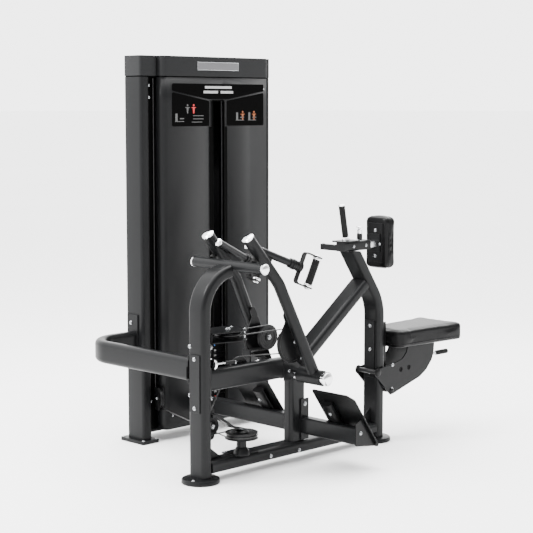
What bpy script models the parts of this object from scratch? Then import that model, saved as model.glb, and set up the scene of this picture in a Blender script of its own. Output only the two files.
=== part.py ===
"""Isolateral seated row machine: weight tower, two lever arms, seat and chest pad.

Positions are written in the machine's own frame: the foot of the front post is
(0, 0, 0), +X runs along the base beam towards the seat, +Y towards the weight
tower and +Z up. One empty moves the whole machine so that the origin of the
world lies under the middle of its bounding box.
"""
import math

import bmesh
import bpy
from mathutils import Euler, Matrix, Vector

# ---------------------------------------------------------------- dimensions
GAP = 0.0003                 # clearance between touching pieces
WALL = 0.003                 # wall of the frame tubes
MITRE_GAP = 0.0022           # clearance at a tube end that is cut on the slant

TUBE_THIN = 0.050            # frame tube, narrow side
TUBE_WIDE = 0.090            # frame tube, wide side
TUBE_ROUND = 0.017           # radius of the tube's corners
FOOT_RADIUS = 0.0765
FOOT_THICK = 0.020

POST_BEND_Z = 0.675          # front post: start of the bend
POST_BEND_RADIUS = 0.160
STOP_X, STOP_Z = 0.158, 0.853
STOP_RADIUS = 0.021
STOP_HALF = 0.200

BEAM_LOW = 0.035             # base beam: underside
UPPER_BEAM_Z = 0.4045        # upper beam: middle height
UPPER_BEAM_TALL = 0.085
UPPER_BEAM_END = 0.565
MID_POST_X = 0.530

SEAT_POST_X = 1.035
SEAT_POST_BEND_Z = 0.562
SEAT_POST_BEND_RADIUS = 0.200
SEAT_POST_LEAN = math.radians(34.4)
SLEEVE_Z = 0.8813            # middle height of the chest pad's sleeve
SLEEVE_WIDE, SLEEVE_TALL = 0.050, 0.040
BRACE_ANGLE = math.radians(37.0)

CROSS_X, CROSS_Z = 0.5625, 0.150
CROSS_WIDE, CROSS_TALL = 0.050, 0.070
CROSS_NEAR_END = -0.340
FOOTREST_TOP = (0.498, 0.325)     # X and Z of the plate's top edge
FOOTREST_LOW = (0.662, 0.095)
FOOTREST_INNER, FOOTREST_OUTER = 0.130, 0.360

GUARD_Z, GUARD_TALL = 0.450, 0.094
GUARD_RUN_Y = 0.722
GUARD_BEND = 0.145

COLUMN_X = (0.283, 1.015)    # middle of the left and right tower columns
COLUMN_Y = 0.7175
COLUMN_DEEP = 0.115
TOWER_TOP = 1.700
CAP_LOW = 1.608
CAP_LIP = 0.001              # how far the cap stands proud of the columns and shrouds
SHROUD_Y = 0.630
SHROUD_LEFT, SHROUD_RIGHT = 0.355, 0.985
SHROUD_LOW = 0.050
SHROUD_THICK = 0.0025
REAR_Y = 0.808
REAR_RETURN = 0.0322
SLOT_X, SLOT_WIDE = 0.682, 0.072
SLOT_LOW, SLOT_TOP = 0.075, 1.507
PLACARD_X = (0.408, 0.628, 0.732, 0.966)     # outer edges and the gap above the slot
PLACARD_Z = (1.392, 1.512, 1.582)            # underside, top of the gap, top edge
PLACARD_THICK = 0.0014

STACK_X, STACK_Y = 0.682, 0.735
STACK_LOW = 0.0865
PLATE_WIDE, PLATE_DEEP, PLATE_TALL = 0.360, 0.115, 0.096
PLATE_COUNT = 3
ROD_RADIUS = 0.0125
ROD_OFFSET = 0.120
STEM_RADIUS = 0.014
PIN_Z = 0.109
PIN_RADIUS = 0.0045

PIVOT_X, PIVOT_Z = 0.511, 0.374
ARM_RADIUS = 0.024
ARM_Y = 0.140                # distance of the arm's foot from the middle plane
ARM_SPLAY = math.radians(2.3)
ARM_BEND = (0.313, 0.776)
ARM_TOP = (0.150, 0.970)
HUB_BORE, HUB_RADIUS = 0.0256, 0.032
HUB_INNER, HUB_OUTER = 0.052, 0.184
SHAFT_RADIUS = 0.0252
SHAFT_END = 0.203

HANDLE_START = (0.185, 0.085, 0.935)
HANDLE_HUB = (0.378, 0.132, 0.8535)
HANDLE_TUBE_RADIUS = 0.015
GRIP_RADIUS = 0.016
GRIP_LENGTH = 0.125
BRACKET_REACH = 0.080
STRIP_WIDE, STRIP_THICK = 0.028, 0.005

WHEEL_X, WHEEL_Z = 0.432, 0.527   # pulley carried by each arm
WHEEL_Y = 0.0600
CABLE_RADIUS = 0.0025
GUARD_PLATE_Y = 0.0965
WHEEL_GROOVE = 0.050
FRONT_PULLEY_X = 0.150
FRONT_GROOVE = 0.050
DROP_PULLEY = (0.238, 0.0330, 0.425)
DROP_GROOVE = 0.045
TURN_PULLEY = (0.085, 0.0330, 0.2075)
TURN_GROOVE = 0.035
FLOOR_PULLEY = (0.194, -0.0315, 0.166)
FLOOR_GROOVE = 0.0645
FLOOR_PITCH = 0.010          # how far the cable steps down on its way round the floor pulley
TOWER_PULLEY = (0.331, 0.640, 0.1975)
TOWER_GROOVE = 0.040
TOWER_REACH = math.hypot(TOWER_PULLEY[0] - FLOOR_PULLEY[0], TOWER_PULLEY[1] - FLOOR_PULLEY[1])
TOWER_BEARING = (math.atan2(TOWER_PULLEY[0] - FLOOR_PULLEY[0], TOWER_PULLEY[1] - FLOOR_PULLEY[1])
                 + math.asin(FLOOR_GROOVE / TOWER_REACH))

CARRIAGE_Y = 0.054           # middle of the seat carriage's side plates
CARRIAGE_THICK = 0.006
ROLLER = (0.9925, 0.322)
SEAT_FRONT, SEAT_REAR = 1.085, 1.506
SEAT_LOW, SEAT_TOP = 0.4185, 0.4920
SEAT_FRONT_HALF, SEAT_REAR_HALF = 0.105, 0.130
LEVER_X, LEVER_Y, LEVER_Z = 1.330, -0.038, 0.352     # hinge of the seat lever
LEVER_GRIP_X = 1.424

PAD_BACK, PAD_FRONT = 1.044, 1.101
PAD_HALF, PAD_LOW, PAD_TOP = 0.0590, 0.777, 0.996

# the bounding box that fixes the origin
X_MIN, X_MAX = -FOOT_RADIUS, SEAT_REAR
Y_MIN, Y_MAX = -FOOTREST_OUTER, REAR_Y + SHROUD_THICK / 2 + CAP_LIP
ORIGIN = Vector(((X_MIN + X_MAX) / 2, (Y_MIN + Y_MAX) / 2, 0.0))

# ---------------------------------------------------------------- scene
for old in list(bpy.data.objects):
    bpy.data.objects.remove(old)
machine = bpy.data.collections.new("seated_row")
cutters = bpy.data.collections.new("cutters")
bpy.context.scene.collection.children.link(machine)
bpy.context.scene.collection.children.link(cutters)


def empty(name, place):
    """An empty that marks the machine's origin or a joint's axis."""
    node = bpy.data.objects.new(name, None)
    node.empty_display_size = 0.05
    node.location = Vector(place) - ORIGIN
    machine.objects.link(node)
    return node


def material(name, colour, roughness, metallic=0.0):
    mat = bpy.data.materials.new(name)
    mat.use_nodes = True
    shader = mat.node_tree.nodes["Principled BSDF"]
    shader.inputs["Base Color"].default_value = (*colour, 1.0)
    shader.inputs["Roughness"].default_value = roughness
    shader.inputs["Metallic"].default_value = metallic
    return mat


CHARCOAL = material("charcoal_paint", (0.055, 0.056, 0.058), 0.45, 0.3)
DARK = material("dark_paint", (0.020, 0.020, 0.021), 0.50)
CHROME = material("chrome", (0.80, 0.80, 0.81), 0.15, 1.0)
RUBBER = material("black_rubber", (0.015, 0.015, 0.015), 0.70)
VINYL = material("black_vinyl", (0.022, 0.022, 0.023), 0.42)
NYLON = material("black_nylon", (0.018, 0.018, 0.019), 0.45)
IRON = material("stack_iron", (0.030, 0.030, 0.031), 0.60, 0.4)
CABLE = material("coated_cable", (0.03, 0.03, 0.03), 0.40)

HOME = empty("seated_row_origin", (0, 0, 0))


def own(obj, mat, place=(0, 0, 0), turn=(0, 0, 0), parent=None):
    """Give an object its material, its place in the machine and its parent."""
    parent = parent or HOME
    obj.data.materials.append(mat)
    obj.parent = parent
    obj.location = Vector(place) - ORIGIN - parent.location
    obj.rotation_euler = turn
    machine.objects.link(obj)
    return obj


def to_object(bm, name, smooth=True):
    mesh = bpy.data.meshes.new(name)
    bm.normal_update()
    bm.to_mesh(mesh)
    bm.free()
    if smooth:
        mesh.shade_smooth()
        mesh.set_sharp_from_angle(angle=math.radians(35))
    return bpy.data.objects.new(name, mesh)


# ---------------------------------------------------------------- outlines
def rounded(points, radius, steps=3):
    """A closed outline with its corners rounded; radius is one value or one per corner."""
    radii = radius if isinstance(radius, (list, tuple)) else [radius] * len(points)
    outline = []
    for i, corner in enumerate(points):
        here = Vector(corner)
        before = (Vector(points[i - 1]) - here).normalized()
        after = (Vector(points[(i + 1) % len(points)]) - here).normalized()
        half = before.angle(after) / 2
        if radii[i] < 1e-6:
            outline.append(here)
            continue
        reach = radii[i] / math.tan(half)
        centre = here + (before + after).normalized() * (radii[i] / math.sin(half))
        start = here + before * reach - centre
        end = here + after * reach - centre
        turn = start.angle_signed(end)
        for k in range(steps + 1):
            outline.append(centre + Matrix.Rotation(-turn * k / steps, 2) @ start)
    return outline


def ring(bm, outline):
    """A closed loop of edges in the local XY plane."""
    verts = [bm.verts.new((p[0], p[1], 0.0)) for p in outline]
    return [bm.edges.new((verts[i - 1], verts[i])) for i in range(len(verts))]


def box_section(wide_x, wide_y, radius=TUBE_ROUND, steps=2):
    x, y = wide_x / 2, wide_y / 2
    return rounded([(x, y), (-x, y), (-x, -y), (x, -y)], radius, steps)


def round_section(radius, sides=20):
    turn = 2 * math.pi / sides
    return [Vector((radius * math.cos(k * turn), radius * math.sin(k * turn))) for k in range(sides)]


# ---------------------------------------------------------------- swept shapes
def sweep(outline, runs, solid=False, shear_start=None, shear_end=None):
    """Sweep an outline from the local origin along +Z.

    runs holds ("line", length) and ("bend", radius, angle, steps); a bend turns towards
    local +X. shear_start and shear_end move the first and last ring along the path by
    a function of the ring's own x.
    """
    bm = bmesh.new()
    edges = ring(bm, outline)
    first = list({v for e in edges for v in e.verts})
    base_x = {v: v.co.x for v in first}
    place, heading = Vector((0, 0, 0)), Vector((0, 0, 1))
    for run in runs:
        if run[0] == "line":
            out = bmesh.ops.extrude_edge_only(bm, edges=edges)["geom"]
            moved = [g for g in out if isinstance(g, bmesh.types.BMVert)]
            edges = [g for g in out if isinstance(g, bmesh.types.BMEdge)]
            bmesh.ops.translate(bm, verts=moved, vec=heading * run[1])
            place = place + heading * run[1]
        else:
            _, radius, angle, steps = run
            side = Vector((heading.z, 0, -heading.x))
            centre = place + side * radius
            out = bmesh.ops.spin(bm, geom=edges + list({v for e in edges for v in e.verts}),
                                 cent=centre, axis=(0, 1, 0), dvec=(0, 0, 0),
                                 angle=angle, steps=steps)["geom_last"]
            edges = [g for g in out if isinstance(g, bmesh.types.BMEdge)]
            spin = Matrix.Rotation(angle, 3, "Y")
            place = centre + spin @ (place - centre)
            heading = spin @ heading
    last = list({v for e in edges for v in e.verts})
    if shear_start:
        for v in first:
            v.co.z += shear_start(base_x[v])
    if shear_end:
        side = Vector((heading.z, 0, -heading.x))
        for v in last:
            v.co += heading * shear_end((v.co - place).dot(side))
    if solid:
        bmesh.ops.contextual_create(bm, geom=list({e for v in first for e in v.link_edges
                                                   if e.is_boundary and all(w in first for w in e.verts)}))
        bmesh.ops.contextual_create(bm, geom=edges)
    bmesh.ops.recalc_face_normals(bm, faces=bm.faces)
    point_outwards(bm)
    return bm


def point_outwards(bm):
    """Turn every face over if the surface's normals point towards its own middle line."""
    score = 0.0
    for face in bm.faces:
        rim = Vector((0, 0, 0))
        for loop in face.loops:
            rim += loop.vert.co.cross(loop.link_loop_next.vert.co)
        score += face.calc_center_median().dot(face.normal) * face.calc_area()
    if score < 0:
        bmesh.ops.reverse_faces(bm, faces=bm.faces)


def tube(name, outline, runs, mat, place, turn=(0, 0, 0), parent=None, wall=WALL, **shears):
    """A hollow tube with open ends."""
    obj = own(to_object(sweep(outline, runs, **shears), name), mat, place, turn, parent)
    shell = obj.modifiers.new("wall", "SOLIDIFY")
    shell.thickness = wall
    shell.offset = -1.0
    return obj


def bar(name, outline, runs, mat, place, turn=(0, 0, 0), parent=None, **shears):
    """A solid bar."""
    return own(to_object(sweep(outline, runs, solid=True, **shears), name), mat, place, turn, parent)


def plate(name, outline, thick, mat, place, turn=(0, 0, 0), parent=None):
    """A flat outline extruded evenly to both sides of the local XY plane."""
    bm = bmesh.new()
    edges = ring(bm, outline)
    bmesh.ops.contextual_create(bm, geom=edges)
    out = bmesh.ops.extrude_face_region(bm, geom=list(bm.faces))["geom"]
    moved = [g for g in out if isinstance(g, bmesh.types.BMVert)]
    bmesh.ops.translate(bm, verts=moved, vec=(0, 0, thick))
    bmesh.ops.translate(bm, verts=bm.verts, vec=(0, 0, -thick / 2))
    bmesh.ops.recalc_face_normals(bm, faces=bm.faces)
    return own(to_object(bm, name), mat, place, turn, parent)


def turned(name, profile, mat, place, turn=(0, 0, 0), parent=None, sides=32, closed=False):
    """A profile of (radius, height) points, top to bottom on its outer side, turned about Z."""
    bm = bmesh.new()
    verts = [bm.verts.new((r, 0.0, z)) for r, z in profile]
    for a, b in zip(verts, verts[1:]):
        bm.edges.new((a, b))
    if closed:
        bm.edges.new((verts[-1], verts[0]))
    obj = own(to_object(bm, name, smooth=False), mat, place, turn, parent)
    screw = obj.modifiers.new("turn", "SCREW")
    screw.steps = sides
    screw.render_steps = sides
    screw.use_merge_vertices = True
    screw.merge_threshold = 0.00001
    return obj


def disc(name, radius, thick, mat, place, turn=(0, 0, 0), parent=None, sides=32, chamfer=0.0015):
    """A solid disc or rod centred on its place, with chamfered edges."""
    half = thick / 2
    profile = [(0, half), (radius - chamfer, half), (radius, half - chamfer),
               (radius, chamfer - half), (radius - chamfer, -half), (0, -half)]
    return turned(name, profile, mat, place, turn, parent, sides)


def collar(name, inner, outer, thick, mat, place, turn=(0, 0, 0), parent=None, sides=32):
    """A plain ring."""
    half = thick / 2
    profile = [(inner, half), (outer, half), (outer, -half), (inner, -half)]
    return turned(name, profile, mat, place, turn, parent, sides, closed=True)


def combine(target, tools, operation="UNION"):
    """Join helper solids to a piece, or cut them out of it, and keep only the result."""
    bpy.context.view_layer.update()
    for tool in tools:
        step = target.modifiers.new(operation.lower(), "BOOLEAN")
        step.operation = operation
        step.solver = "EXACT"
        step.object = tool
    bpy.context.view_layer.update()
    shaped = target.evaluated_get(bpy.context.evaluated_depsgraph_get())
    mesh = bpy.data.meshes.new_from_object(shaped)
    mesh.name = target.name
    target.modifiers.clear()
    target.data = mesh
    for tool in tools:
        bpy.data.objects.remove(tool)
    return target


TO_X = (0, math.pi / 2, 0)            # local Z along world X
TO_Y = (-math.pi / 2, 0, 0)           # local Z along world Y, local Y down
FACE_Y = (math.pi / 2, 0, 0)          # outline in the XZ plane
FACE_X = (math.pi / 2, 0, math.pi / 2)  # outline in the YZ plane
SIDES = (("left", -1), ("right", 1))  # the user's left is -Y


# ---------------------------------------------------------------- frame
def foot(name, x):
    profile = [(0, FOOT_THICK), (FOOT_RADIUS - 0.004, FOOT_THICK), (FOOT_RADIUS, FOOT_THICK - 0.004),
               (FOOT_RADIUS, 0.001), (FOOT_RADIUS - 0.001, 0), (0, 0)]
    turned(name, profile, DARK, (x, 0, 0))


def frame():
    section = box_section(TUBE_THIN, TUBE_WIDE)
    low = FOOT_THICK + GAP
    tube("front_post", section,
         [("line", POST_BEND_Z - low), ("bend", POST_BEND_RADIUS, math.radians(82.0), 9)],
         CHARCOAL, (0, 0, low))
    foot("front_post_foot", 0.0)
    foot("seat_post_foot", SEAT_POST_X)

    inside = TUBE_THIN / 2 + GAP
    beam_length = SEAT_POST_X - 2 * inside
    tube("base_beam", section, [("line", beam_length)], CHARCOAL,
         (inside, 0, BEAM_LOW + TUBE_THIN / 2), TO_X)
    tube("upper_beam", box_section(UPPER_BEAM_TALL, TUBE_THIN), [("line", UPPER_BEAM_END - inside)],
         CHARCOAL, (inside, 0, UPPER_BEAM_Z), TO_X)
    post_low = BEAM_LOW + TUBE_THIN + GAP
    post_top = UPPER_BEAM_Z - UPPER_BEAM_TALL / 2 - GAP
    tube("mid_post", box_section(TUBE_WIDE, TUBE_THIN), [("line", post_top - post_low)], CHARCOAL,
         (MID_POST_X, 0, post_low))

    sleeve_low = SLEEVE_Z - SLEEVE_TALL / 2 - MITRE_GAP
    bend_rise = SEAT_POST_BEND_RADIUS * math.sin(SEAT_POST_LEAN)
    upper = (sleeve_low - SEAT_POST_BEND_Z - bend_rise) / math.cos(SEAT_POST_LEAN)
    tube("seat_post", section,
         [("line", SEAT_POST_BEND_Z - low), ("bend", SEAT_POST_BEND_RADIUS, SEAT_POST_LEAN, 6),
          ("line", upper)],
         CHARCOAL, (SEAT_POST_X, 0, low), (0, 0, math.pi),
         shear_end=lambda x: x * math.tan(SEAT_POST_LEAN))

    brace_x = UPPER_BEAM_END + MITRE_GAP
    brace_z = 0.513 + math.tan(BRACE_ANGLE) * (brace_x - 0.676)
    brace_top = 0.9427
    brace_length = (brace_top - brace_x) / math.cos(BRACE_ANGLE) - 0.0018
    tube("diagonal_brace", section, [("line", brace_length)], CHARCOAL, (brace_x, 0, brace_z),
         (0, math.pi / 2 - BRACE_ANGLE, 0), shear_start=lambda x: -x * math.tan(BRACE_ANGLE))

    tube("stop_tube", round_section(STOP_RADIUS, 24), [("line", 2 * STOP_HALF)], CHARCOAL,
         (STOP_X, -STOP_HALF, STOP_Z), TO_Y)
    run = Vector((ARM_BEND[0] - ARM_TOP[0], 0, ARM_BEND[1] - ARM_TOP[1])).normalized()
    normal = Vector((-run.z, 0, run.x))
    reach = (Vector((ARM_TOP[0], 0, ARM_TOP[1])) - Vector((STOP_X, 0, STOP_Z))).dot(normal)
    thick = reach - ARM_RADIUS - STOP_RADIUS - 3 * GAP
    middle = STOP_RADIUS + 1.5 * GAP + thick / 2
    for side, sign in SIDES:
        place = Vector((STOP_X, sign * 0.1205, STOP_Z)) + normal * middle
        disc(f"{side}_arm_bumper", 0.014, thick, RUBBER, place,
             (0, math.atan2(normal.x, normal.z), 0), sides=20)
        disc(f"{side}_pivot_shaft", SHAFT_RADIUS, SHAFT_END - TUBE_THIN / 2 - GAP, CHROME,
             (PIVOT_X, sign * (SHAFT_END + TUBE_THIN / 2 + GAP) / 2, PIVOT_Z), TO_Y)


def lower_frame():
    inner = TUBE_THIN / 2 + GAP
    tube("left_cross_beam", box_section(CROSS_WIDE, CROSS_TALL, 0.010),
         [("line", -CROSS_NEAR_END - inner)], CHARCOAL, (CROSS_X, CROSS_NEAR_END, CROSS_Z), TO_Y)
    tower_face = SHROUD_Y - SHROUD_THICK / 2 - GAP
    tube("right_cross_beam", box_section(CROSS_WIDE, CROSS_TALL, 0.010),
         [("line", tower_face - inner)], CHARCOAL, (CROSS_X, inner, CROSS_Z), TO_Y)
    top, bottom = Vector(FOOTREST_TOP), Vector(FOOTREST_LOW)
    slope = math.atan2(top.y - bottom.y, bottom.x - top.x)
    length = (top - bottom).length
    half = (FOOTREST_OUTER - FOOTREST_INNER) / 2
    for side, sign in SIDES:
        outline = [(-length / 2, -sign * half), (length / 2 - 0.055, -sign * half),
                   (length / 2, -sign * half + sign * 0.050), (length / 2, sign * half),
                   (-length / 2 + 0.020, sign * half), (-length / 2, sign * (half - 0.035))]
        if sign < 0:
            outline.reverse()
        middle = ((top.x + bottom.x) / 2, sign * (FOOTREST_OUTER + FOOTREST_INNER) / 2,
                  (top.y + bottom.y) / 2)
        plate(f"{side}_footrest", rounded(outline, 0.010), 0.006, DARK, middle, (0, slope, 0))
    start = TUBE_WIDE / 2 + GAP
    tube("guard_rail", box_section(TUBE_THIN, GUARD_TALL, 0.020),
         [("line", GUARD_RUN_Y - GUARD_BEND - start), ("bend", GUARD_BEND, math.pi / 2, 9),
          ("line", COLUMN_X[0] - TUBE_THIN / 2 - GAP - GUARD_BEND)],
         CHARCOAL, (0, start, GUARD_Z), TO_Y)


# ---------------------------------------------------------------- weight tower
def sheet(name, path, low, high, mat, thick=SHROUD_THICK):
    """A bent sheet: an open line in plan, extruded upwards."""
    bm = bmesh.new()
    verts = [bm.verts.new((p[0], p[1], low)) for p in path]
    edges = [bm.edges.new(pair) for pair in zip(verts, verts[1:])]
    out = bmesh.ops.extrude_edge_only(bm, edges=edges)["geom"]
    bmesh.ops.translate(bm, verts=[g for g in out if isinstance(g, bmesh.types.BMVert)],
                        vec=(0, 0, high - low))
    obj = own(to_object(bm, name), mat)
    shell = obj.modifiers.new("wall", "SOLIDIFY")
    shell.thickness = thick
    shell.offset = 0.0
    return obj


def block(name, low, high, mat, radius=0.0, parent=None):
    """An upright block with rounded vertical edges, between two corners."""
    x, y = high[0] - low[0], high[1] - low[1]
    outline = box_section(x, y, radius) if radius else [(x / 2, y / 2), (-x / 2, y / 2),
                                                        (-x / 2, -y / 2), (x / 2, -y / 2)]
    middle = (Vector(low) + Vector(high)) / 2
    return plate(name, outline, high[2] - low[2], mat, middle, parent=parent)


def arc_path(points, radius, steps=4):
    """An open path in plan whose inner corners are rounded."""
    closed = rounded(points + [(points[-1][0], points[0][1] + 1.0)],
                     [0] + [radius] * (len(points) - 2) + [0, 0], steps)
    return closed[:-1]


def cap_outline():
    """The cap's outline in plan, which follows the columns and the shrouds below it."""
    left = COLUMN_X[0] - TUBE_THIN / 2 - CAP_LIP
    right = COLUMN_X[1] + TUBE_THIN / 2 + CAP_LIP
    near = COLUMN_Y - COLUMN_DEEP / 2 - CAP_LIP
    far = COLUMN_Y + COLUMN_DEEP / 2 + CAP_LIP
    front = SHROUD_Y - SHROUD_THICK / 2 - CAP_LIP
    rear = REAR_Y + SHROUD_THICK / 2 + CAP_LIP
    inset = 0.032
    points = [(right, near), (SHROUD_RIGHT + 0.004, near), (SHROUD_RIGHT + 0.004, front),
              (SHROUD_LEFT - CAP_LIP, front), (SHROUD_LEFT - CAP_LIP, near), (left, near), (left, far),
              (left + inset, far), (left + inset, rear), (right - inset, rear), (right - inset, far),
              (right, far)]
    radii = [0.014, 0.002, 0.008, 0.028, 0.002, 0.014, 0.014, 0.002, 0.016, 0.016, 0.002, 0.014]
    return rounded(points, radii)


def tower():
    pad = 0.015
    for side, x in zip(("left", "right"), COLUMN_X):
        tube(f"{side}_column", box_section(TUBE_THIN, COLUMN_DEEP), [("line", CAP_LOW - pad - 2 * GAP)],
             CHARCOAL, (x, COLUMN_Y, pad + GAP))
        block(f"{side}_column_foot", (x - 0.048, COLUMN_Y - 0.080, 0), (x + 0.048, COLUMN_Y + 0.080, pad),
              DARK, 0.008)
    inner = TUBE_THIN / 2 + GAP
    tube("tower_base", box_section(0.050, 0.060, 0.008),
         [("line", COLUMN_X[1] - COLUMN_X[0] - 2 * inner)], CHARCOAL,
         (COLUMN_X[0] + inner, COLUMN_Y, 0.0605), TO_X)
    cap = plate("tower_cap", cap_outline(), TOWER_TOP - CAP_LOW, CHARCOAL,
                (0, 0, (TOWER_TOP + CAP_LOW) / 2))
    soften = cap.modifiers.new("edges", "BEVEL")
    soften.width = 0.003
    soften.segments = 2
    soften.angle_limit = math.radians(60)

    front = [(SHROUD_LEFT, SHROUD_Y + 0.055), (SHROUD_LEFT, SHROUD_Y), (SHROUD_RIGHT, SHROUD_Y)]
    shroud = sheet("front_shroud", arc_path(front, 0.030), SHROUD_LOW, CAP_LOW - GAP, CHARCOAL)
    slot = block("slot_cutter", (SLOT_X - SLOT_WIDE / 2, SHROUD_Y - 0.02, SLOT_LOW),
                 (SLOT_X + SLOT_WIDE / 2, SHROUD_Y + 0.02, SLOT_TOP), CHARCOAL)
    combine(shroud, [slot], "DIFFERENCE")
    rear = [(COLUMN_X[0] + 0.010, REAR_Y - REAR_RETURN), (COLUMN_X[0] + 0.010, REAR_Y),
            (COLUMN_X[1] - 0.010, REAR_Y), (COLUMN_X[1] - 0.010, REAR_Y - REAR_RETURN)]
    sheet("rear_shroud", arc_path(rear, 0.030), SHROUD_LOW, CAP_LOW - GAP, CHARCOAL)

    face = SHROUD_Y - SHROUD_THICK / 2 - GAP
    left, gap_left, gap_right, right = PLACARD_X
    low, gap_top, top = PLACARD_Z
    outline = [(left, top), (left, low), (gap_left, low), (gap_left, gap_top),
               (gap_right, gap_top), (gap_right, low), (right, low), (right, top)]
    plate("instruction_placard", rounded(outline, 0.006, 2), PLACARD_THICK, DARK,
          (0, face - PLACARD_THICK / 2, 0), FACE_Y)
    for side, sign in SIDES:
        disc(f"{side}_guide_rod", ROD_RADIUS, CAP_LOW - STACK_LOW - 2 * GAP, CHROME,
             (STACK_X + sign * ROD_OFFSET, STACK_Y, (STACK_LOW + CAP_LOW) / 2), sides=20)


def weights():
    lift = empty("weight_carriage", (STACK_X, STACK_Y, STACK_LOW))
    pitch = PLATE_TALL + GAP
    drill = ROD_RADIUS + 0.0008
    tools = [("rod_bore_left", -ROD_OFFSET, drill), ("rod_bore_right", ROD_OFFSET, drill),
             ("stem_bore", 0.0, STEM_RADIUS + 0.0008)]

    def drilled(name, z, tall, cutter_set, wide=PLATE_WIDE):
        body = block(name, (STACK_X - wide / 2, STACK_Y - PLATE_DEEP / 2, z),
                     (STACK_X + wide / 2, STACK_Y + PLATE_DEEP / 2, z + tall), IRON, 0.006, lift)
        bores = [disc(tool, radius, 0.3, IRON, (STACK_X + x, STACK_Y, z + tall / 2), sides=20)
                 for tool, x, radius in cutter_set]
        return combine(body, bores, "DIFFERENCE")

    pin_length = 0.100
    pin_front = SHROUD_Y - 0.030
    for k in range(PLATE_COUNT):
        body = drilled(f"weight_plate_{k + 1}", STACK_LOW + GAP + k * pitch, PLATE_TALL, tools)
        if k == 0:
            bore = disc("pin_bore", PIN_RADIUS + 0.0006, 0.12, IRON, (STACK_X, pin_front + 0.095, PIN_Z),
                        TO_Y, sides=16)
            combine(body, [bore], "DIFFERENCE")
    top_z = STACK_LOW + GAP + PLATE_COUNT * pitch
    top = drilled("top_weight_plate", top_z, 0.036, tools[:2])
    stem_low = STACK_LOW + 0.004
    stem = disc("stem", STEM_RADIUS, top_z + 0.070 - stem_low, CHROME,
                (STACK_X, STACK_Y, (top_z + 0.070 + stem_low) / 2), sides=20)
    bore = disc("stem_pin_bore", PIN_RADIUS + 0.0006, 0.12, IRON, (STACK_X, pin_front + 0.095, PIN_Z),
                TO_Y, sides=16)
    combine(stem, [bore], "DIFFERENCE")
    combine(top, [stem])
    pin_home = empty("selector_pin_slide", (STACK_X, pin_front, PIN_Z))
    knob = [(0, 0.0), (PIN_RADIUS, 0.0), (PIN_RADIUS, -pin_length), (0.010, -pin_length - 0.001),
            (0.013, -pin_length - 0.006), (0.013, -pin_length - 0.022), (0.010, -pin_length - 0.028),
            (0, -pin_length - 0.028)]
    turned("selector_pin", knob, CHROME, (STACK_X, pin_front + 0.028 + pin_length, PIN_Z),
           TO_Y, pin_home, sides=20)


# ---------------------------------------------------------------- pulleys and cable
def pulley(name, groove, thick, place, turn, parent=None, floor=0.9 * CABLE_RADIUS):
    """A grooved nylon wheel.

    groove is the radius of the cable's middle line on it, and floor half the width
    of the groove's bottom.
    """
    seat = groove - CABLE_RADIUS - 0.0009
    rim = groove + 0.003
    half = thick / 2
    profile = [(0, half * 0.6), (seat * 0.75, half * 0.6), (seat * 0.85, half), (rim, half),
               (seat, floor), (seat, -floor), (rim, -half), (seat * 0.85, -half),
               (seat * 0.75, -half * 0.6), (0, -half * 0.6)]
    return turned(name, profile, NYLON, place, turn, parent, sides=24)


def arc(centre, radius, start, end, plane, steps):
    """Points on an arc; plane names the two axes in which the angle runs."""
    points = []
    for k in range(steps + 1):
        angle = math.radians(start + (end - start) * k / steps)
        point = list(centre)
        point["xyz".index(plane[0])] += radius * math.cos(angle)
        point["xyz".index(plane[1])] += radius * math.sin(angle)
        points.append(tuple(point))
    return points


def cable_route():
    """The cable from its anchor on the upper beam to the top of the weight stack."""
    route = [(0.330, WHEEL_Y, WHEEL_Z - WHEEL_GROOVE)]
    wheel_right = (WHEEL_X, WHEEL_Y, WHEEL_Z)
    wheel_left = (WHEEL_X, -WHEEL_Y, WHEEL_Z)
    route += arc(wheel_right, WHEEL_GROOVE, -90, 90, "xz", 8)
    route += arc((FRONT_PULLEY_X, 0, WHEEL_Z + WHEEL_GROOVE), FRONT_GROOVE, 90, 270, "xy", 8)
    route += arc(wheel_left, WHEEL_GROOVE, 90, -90, "xz", 8)
    drop, turn = DROP_PULLEY, TURN_PULLEY
    route.append((WHEEL_X - 0.030, -WHEEL_Y, WHEEL_Z - WHEEL_GROOVE))
    route.append((drop[0] + 0.030, drop[1], drop[2] + DROP_GROOVE))
    route += arc(drop, DROP_GROOVE, 90, 145, "xz", 3)
    route += arc(turn, TURN_GROOVE, 145, 270, "xz", 5)
    floor, wrap = FLOOR_PULLEY, 20
    sweep_angle = 270 + math.degrees(TOWER_BEARING)
    for k in range(wrap + 1):
        angle = math.radians(90 - sweep_angle * k / wrap)
        route.append((floor[0] + FLOOR_GROOVE * math.cos(angle),
                      floor[1] + FLOOR_GROOVE * math.sin(angle),
                      turn[2] - TURN_GROOVE - FLOOR_PITCH * k / wrap))
    tower = TOWER_PULLEY
    for k in range(5):
        angle = math.radians(-90 + 90 * k / 4)
        out = TOWER_GROOVE * math.cos(angle)
        route.append((tower[0] + out * math.sin(TOWER_BEARING), tower[1] + out * math.cos(TOWER_BEARING),
                      tower[2] + TOWER_GROOVE * math.sin(angle)))
    route.append((*route[-1][:2], CAP_LOW - 0.004))
    return route


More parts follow.
